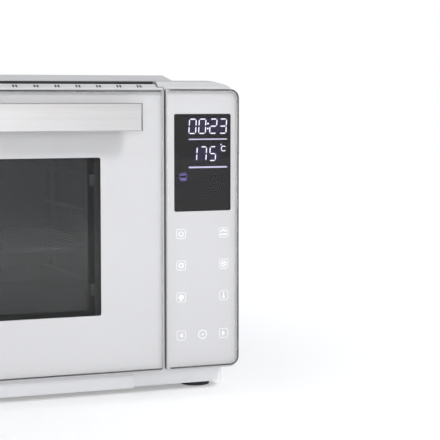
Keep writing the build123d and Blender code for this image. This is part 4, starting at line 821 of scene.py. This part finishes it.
def figure(sign, x, z, wide, high):
    """The lit bars of one figure round its middle. A bar's width goes from thin to full and back."""
    made = []
    for name, ends in figure_bars.items():
        if name not in dark_bars[sign]:
            start, end = (np.array([x + a * wide / 2, z + b * high / 2]) for a, b in ends)
            path = start + (end - start) * bar_stops[:, None]
            path[:, 0] += lean * (path[:, 1] - z)
            made.append(ribbon(path, bar_width * bar_taper, figure_front, figure_back))
    return made


time_figures = (("0", 31.2), ("0", 42.1), ("2", 54.5), ("3", 65.4))
heat_figures = (("1", 32.8), ("7", 43.3), ("5", 53.8))
time_size, heat_size = (7.5 * mm, 14.9 * mm), (6.4 * mm, 14.4 * mm)
colon_x, colon_radius = 48.4 * mm, 0.95 * mm
figures = []
for sign, x in time_figures:
    figures += figure(sign, panel_left + x * mm, time_row, *time_size)
for sign, x in heat_figures:
    figures += figure(sign, panel_left + x * mm, heat_row, *heat_size)
for z in (279.3 * mm, 284.4 * mm):
    x = panel_left + colon_x + lean * (z - time_row)
    figures.append(spot((x, z), colon_radius, figure_front, figure_back))
degree = (panel_left + 63.2 * mm, 262.3 * mm)
figures.append(ribbon(arc(degree, 0.6 * mm, 0, 345), 0.35 * mm, figure_front, figure_back, True))
letter = arc((panel_left + 66.1 * mm, 258.1 * mm), 2.6 * mm, 42, 318)
figures.append(ribbon(letter, 0.9 * mm, figure_front, figure_back))
piece("display_figures", figures, "lit_figure", "root")
rules = []
for z, thick in ((268.1, 1.3), (238.8, 1.7)):
    path = [(panel_left + x * mm, z * mm) for x in (26.9, 69.9)]
    rules.append(ribbon(path, thick * mm, figure_front, figure_back))
piece("display_rules", rules, "lit_rule", "root")
badge_x, badge_z = panel_left + 20.7 * mm, 229.1 * mm
badge_half = np.array([3.9, 4]) * mm
rim = rounded_path((badge_x, badge_z) - badge_half, (badge_x, badge_z) + badge_half, 2 * mm)
badge = [ribbon(rim, 0.5 * mm, figure_front, figure_back, True)]
for z, thick in ((2.2, 1.5), (-2.3, 2.3)):
    path = [(badge_x + x * mm, badge_z + z * mm) for x in (-2.9, 2.9)]
    badge.append(ribbon(path, thick * mm, figure_front, figure_back))
piece("display_badge", badge, "lit_badge", "root")

# %% [markdown]
# The touch keys are white light at the print. Each has a thin rounded outline and a plain symbol, and
# lies in the thin space between glass and print. The middle one is round.
# %% Key symbols
sign_front = glass_low.y + 4.06 * mm
sign_back = glass_low.y + 4.14 * mm
key_left, key_middle, key_right = 18 * mm, 42 * mm, 66 * mm
key_rows = (169.4 * mm, 136.2 * mm, 102.6 * mm, 62.1 * mm)
key_half, key_radius, rim_width = 4.9 * mm, 2.1 * mm, 0.6 * mm
round_radius, round_width = 4.5 * mm, 0.9 * mm


def stroke(x, z, path, width, closed=False):
    """A ribbon drawn in millimetres round a key's middle."""
    return ribbon(np.asarray(path) * mm + (x, z), np.asarray(width) * mm, sign_front, sign_back, closed)


def power_sign(x, z):
    """A ring, open at the top, with a short bar in the opening."""
    return [stroke(x, z, arc((0, -0.2), 2.4, 125, 415), 0.7), stroke(x, z, [(0, 1.2), (0, 3.1)], 0.7)]


def clock_sign(x, z):
    """A thick ring with two hands."""
    return [
        stroke(x, z, arc((0, 0), 2.5, 0, 352), 0.8, True),
        stroke(x, z, [(0, 1.3), (0, 0), (0.9, -0.4)], 0.5),
    ]


def lamp_sign(x, z):
    """A filled disc with a foot."""
    return [
        spot((x, z), 2.7 * mm, sign_front, sign_back), stroke(x, z, [(-1.1, -3.4), (1.1, -3.4)], 0.6),
    ]


def arrow_sign(x, z, way):
    """A filled triangle, whose height shrinks evenly to its tip."""
    t = np.linspace(0, 0.97, 4)
    return [stroke(x, z, np.column_stack([way * (3 * t - 1.5), 0 * t]), 5.4 * (1 - t))]


def dish_sign(x, z):
    """A low cover over a plate."""
    return [
        stroke(x, z, arc((0, -0.6), 3.2, 20, 160), 0.9), stroke(x, z, [(-3.6, -1.9), (3.6, -1.9)], 1.1),
        spot((x, z + 3.5 * mm), 0.6 * mm, sign_front, sign_back),
    ]


def fan_sign(x, z):
    """A ring round three blades."""
    blades = [
        stroke(x, z, arc((0.9 * math.cos(a), 0.9 * math.sin(a)), 0.7, 57 * a, 57 * a + 200), 0.5)
        for a in (0.5, 2.6, 4.7)
    ]
    return [stroke(x, z, arc((0, 0), 2.7, 0, 352), 0.7, True), *blades]


def heat_sign(x, z):
    """A thermometer: a stem that widens into its bulb."""
    t = np.linspace(0, 1, 9)
    width = 0.9 + 1.9 * np.clip(1 - np.abs(t - 0.8) / 0.22, 0, 1) ** 0.5 * (t > 0.55)
    return [stroke(x, z, np.column_stack([0 * t, 3.2 - 6.2 * t]), width)]


def accept_sign(x, z):
    """A tick, for the round key in the middle."""
    return [stroke(x, z, [(-1.4, 0.2), (-0.3, -1.1), (1.7, 1.3)], 0.7)]


symbols, rims = [], []
for (x, row), make in zip(
    [(x, row) for row in key_rows for x in (key_left, key_right)],
    (power_sign, dish_sign, clock_sign, fan_sign, lamp_sign, heat_sign, None, None),
):
    x += panel_left
    if make is None:
        symbols += arrow_sign(x, row, -1 if x < panel_left + key_middle else 1)
    else:
        symbols += make(x, row)
    path = rounded_path((x - key_half, row - key_half), (x + key_half, row + key_half), key_radius)
    rims.append(ribbon(path, rim_width, sign_front, sign_back, True))
middle_key = (panel_left + key_middle, key_rows[-1])
symbols += accept_sign(*middle_key)
path = arc(middle_key, round_radius, 0, 350, 36)
rims.append(ribbon(path, round_width, sign_front, sign_back, True))
piece("key_symbols", symbols, "lit_symbol", "root")
piece("key_outlines", rims, "lit_outline", "root")

# %% [markdown]
# Between each trim and the moulding round it lies a thin dark rubber strip, painted shade for the shadow
# in the gap, which reads as a fine line. It is a closed ribbon with the outline's own round corners: small
# ones at the seam and large ones outside.
# %% Shade strips
trim_gap, shade_gasket_width = 0.5 * mm, 0.48 * mm
outer_radius, seam_radius = 9 * mm, 1.7 * mm
shade_gasket_front = glass_low.y + 2.4 * mm
shade_gasket_back = glass_low.y + 4.6 * mm


def shade_gasket(name, trim, body, left_radius, right_radius):
    """A closed dark ribbon in the gap outside a trim, painted shade for the shadow there."""
    low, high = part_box(trim)
    grow = trim_gap / 2
    corners = (
        (high.x, low.z, -90, right_radius, -1, 1), (high.x, high.z, 0, right_radius, -1, -1),
        (low.x, high.z, 90, left_radius, 1, -1), (low.x, low.z, 180, left_radius, 1, 1),
    )
    path = np.vstack([
        arc((x + a * radius, z + b * radius), radius + grow, turn, turn + 90, 9)
        for x, z, turn, radius, a, b in corners
    ])
    ring = ribbon(path, shade_gasket_width, shade_gasket_front, shade_gasket_back, True)
    piece(name, [ring], "shade_gasket_rubber", body)


shade_gasket("door_shade_gasket", "door_trim", "door", outer_radius, seam_radius)
shade_gasket("control_shade_gasket", "control_trim", "root", seam_radius, outer_radius)

# %% [markdown]
# Under the slots in the door's top lies a black bar a little below the slope, painted shade for the dark
# inside of the slots, so that they read as short black strokes. It shows only in the slots, so it is
# made as one small bar for each slot, following the slope.
# %% Slot shade bars
slope_foot = (glass_low.y + 22 * mm, glass_high.z + glass_inset + 1.2 * mm)
slope_rise = 3.9 / 8
slot_front, slot_back = glass_low.y + 22.9 * mm, glass_low.y + 29.1 * mm
slot_half, shade_bar_drop, shade_bar_depth = 1.05 * mm, 0.8 * mm, 2 * mm
slot_pairs, slot_pitch, slot_gap, slot_first = 18, 22.1 * mm, 3.2 * mm, 17.1 * mm
door_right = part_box("door_frame")[1].x


def shade_bar(x):
    """A painted-shade bar in one slot: its top follows the slope's line z = foot + rise (y - foot_y) -
    drop.
    """
    y = np.array([slot_front, slot_back, slot_back, slot_front])
    top = slope_foot[1] + slope_rise * (y - slope_foot[0]) - shade_bar_drop
    z = top - np.array([0, 0, shade_bar_depth, shade_bar_depth])
    ring = np.column_stack([np.zeros(4), y, z])
    points, quads = grid(np.stack([ring + (x - slot_half, 0, 0), ring + (x + slot_half, 0, 0)]))
    return points, np.vstack([quads, [0, 1, 2, 3], [7, 6, 5, 4]])


shade_bars = [
    shade_bar(door_right - slot_first - pair * slot_pitch - gap)
    for pair in range(slot_pairs) for gap in (0, slot_gap)
]
piece("slot_shade_bars", shade_bars, "shade_and_print_black", "door")

# %% [markdown]
# The rear panel is held by six pan-head screws with a cross recess. A screw is a lathe shape whose
# inner rings follow a plus sign instead of a circle, so it needs no cutting.
# %% Rear screws
screw_angles = np.radians(np.arange(0, 360, 7.5))


def plus_radius(angle, reach, arm):
    """The plus sign's outline in polar form: the nearer of an arm's end and an arm's side."""
    turned = np.abs((angle + math.pi / 4) % (math.pi / 2) - math.pi / 4)
    return np.minimum(reach / np.cos(turned), arm / np.maximum(np.sin(turned), 1e-6))


def screw(x, y, z, head, height, shank, length, reach, arm):
    """Rings about the Y axis from the recess's floor over the head and down the shank to its tip."""
    level = np.ones_like(screw_angles)
    plus = plus_radius(screw_angles, reach, arm)
    rings = (
        (0.02 * plus, 0.35 * height), (0.8 * plus, 0.35 * height), (plus, 0.97 * height),
        (0.62 * head * level, 0.95 * height), (0.88 * head * level, 0.72 * height),
        (head * level, 0.3 * height), (head * level, 0), (shank * level, 0),
        (shank * level, -length), (0.02 * shank * level, -length),
    )
    cos, sin = np.cos(screw_angles), np.sin(screw_angles)
    return grid(np.stack([
        np.column_stack([x + radius * cos, y + depth * level, z + radius * sin])
        for radius, depth in rings
    ]))


rear_size = {
    "head": 3.8 * mm, "height": 2 * mm, "shank": 1.7 * mm, "length": 8 * mm,
    "reach": 1.9 * mm, "arm": 0.42 * mm,
}
rear_screw_rows = (58 * mm, 168 * mm, 278 * mm)
screws_low, screws_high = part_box("rear_screws")
rear_face = screws_high.y - rear_size["height"]
screws = [
    screw(x, rear_face, z, **rear_size)
    for x in (screws_low.x + rear_size["head"], screws_high.x - rear_size["head"])
    for z in rear_screw_rows
]
made = piece("rear_screw_heads", screws, "fastener", "root")
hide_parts("rear_screws")

# %% [markdown]
# The same screw, smaller and black, holds the door's inner panel to the moulded frame. Three go down
# each side, clear of the hinge lugs' notches.
# %% Door screws
door_size = {
    "head": 2.8 * mm, "height": 1.2 * mm, "shank": 1.3 * mm, "length": 2.5 * mm,
    "reach": 1.4 * mm, "arm": 0.32 * mm,
}
panel_face = glass_low.y + 32 * mm
side_inset, foot_inset, top_inset = 7 * mm, 14 * mm, 8 * mm
panel_low, panel_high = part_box("door_inner_panel")
door_screws = [
    screw(x, panel_face, z, **door_size)
    for x in (panel_low.x + side_inset, panel_high.x - side_inset)
    for z in np.linspace(panel_low.z + foot_inset, panel_high.z - top_inset, 3)
]
piece("door_screws", door_screws, "motor_metal", "door")

# %% [markdown]
# The clear tank has two printed lines on its front wall, for the highest and the lowest level.
# %% Tank marks
mark_width, mark_proud, mark_sunk = 0.9 * mm, 0.12 * mm, 0.05 * mm
highest_down, lowest_up = 24 * mm, 38 * mm
tank_low, tank_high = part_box("water_tank")
tank_middle = (tank_low.x + tank_high.x) / 2
marks = [
    ribbon(
        [(tank_middle - half, z), (tank_middle + half, z)], mark_width,
        tank_low.y - mark_proud, tank_low.y + mark_sunk,
    )
    for half, z in ((13 * mm, tank_high.z - highest_down), (8 * mm, tank_low.z + lowest_up))
]
piece("tank_marks", marks, "shade_and_print_black", "water_tank")

# %% [markdown]
# Each cooling slot in the rear sheet is covered by a pressed hood that opens downwards, so that nothing
# can drop in. A hood is one formula over the slot: it stands out most at its lower lip, runs into the
# sheet at its top, and fades to nothing at both ends.
# %% Rear hoods
hood_long, hood_high, hood_out, hood_sheet = 49 * mm, 5.6 * mm, 3.2 * mm, 0.8 * mm
hood_drop, hood_square = 2.2 * mm, 12
hood_rows, hood_columns = 9, 3
first_hood_x, first_hood_z = -127 * mm, 118 * mm
column_pitch, row_pitch = 60 * mm, 11 * mm


def hood(x, z):
    """Out = depth * end(u) * cos(pi v / 2), with end(u) = (1 - (2u - 1)^12)^0.5, and a wall inside it."""
    u, v = np.meshgrid(np.linspace(0, 1, 25), np.linspace(0, 1, 7), indexing="ij")
    end = np.sqrt(1 - (2 * u - 1) ** hood_square)
    over = end * np.cos(math.pi * v / 2)
    across, height = x + (u - 0.5) * hood_long, z - hood_drop + hood_high * v
    outside = np.stack([across, rear_face + hood_out * over, height], axis=-1)
    inside = outside - np.stack([0 * end, hood_sheet * end, 0 * end], axis=-1)
    return grid(np.concatenate([outside, inside[:, ::-1]], axis=1))


hoods = [
    hood(first_hood_x + column * column_pitch, first_hood_z + row * row_pitch)
    for column in range(hood_columns) for row in range(hood_rows)
]
piece("rear_hoods", hoods, "sheet_steel", "root", 40)
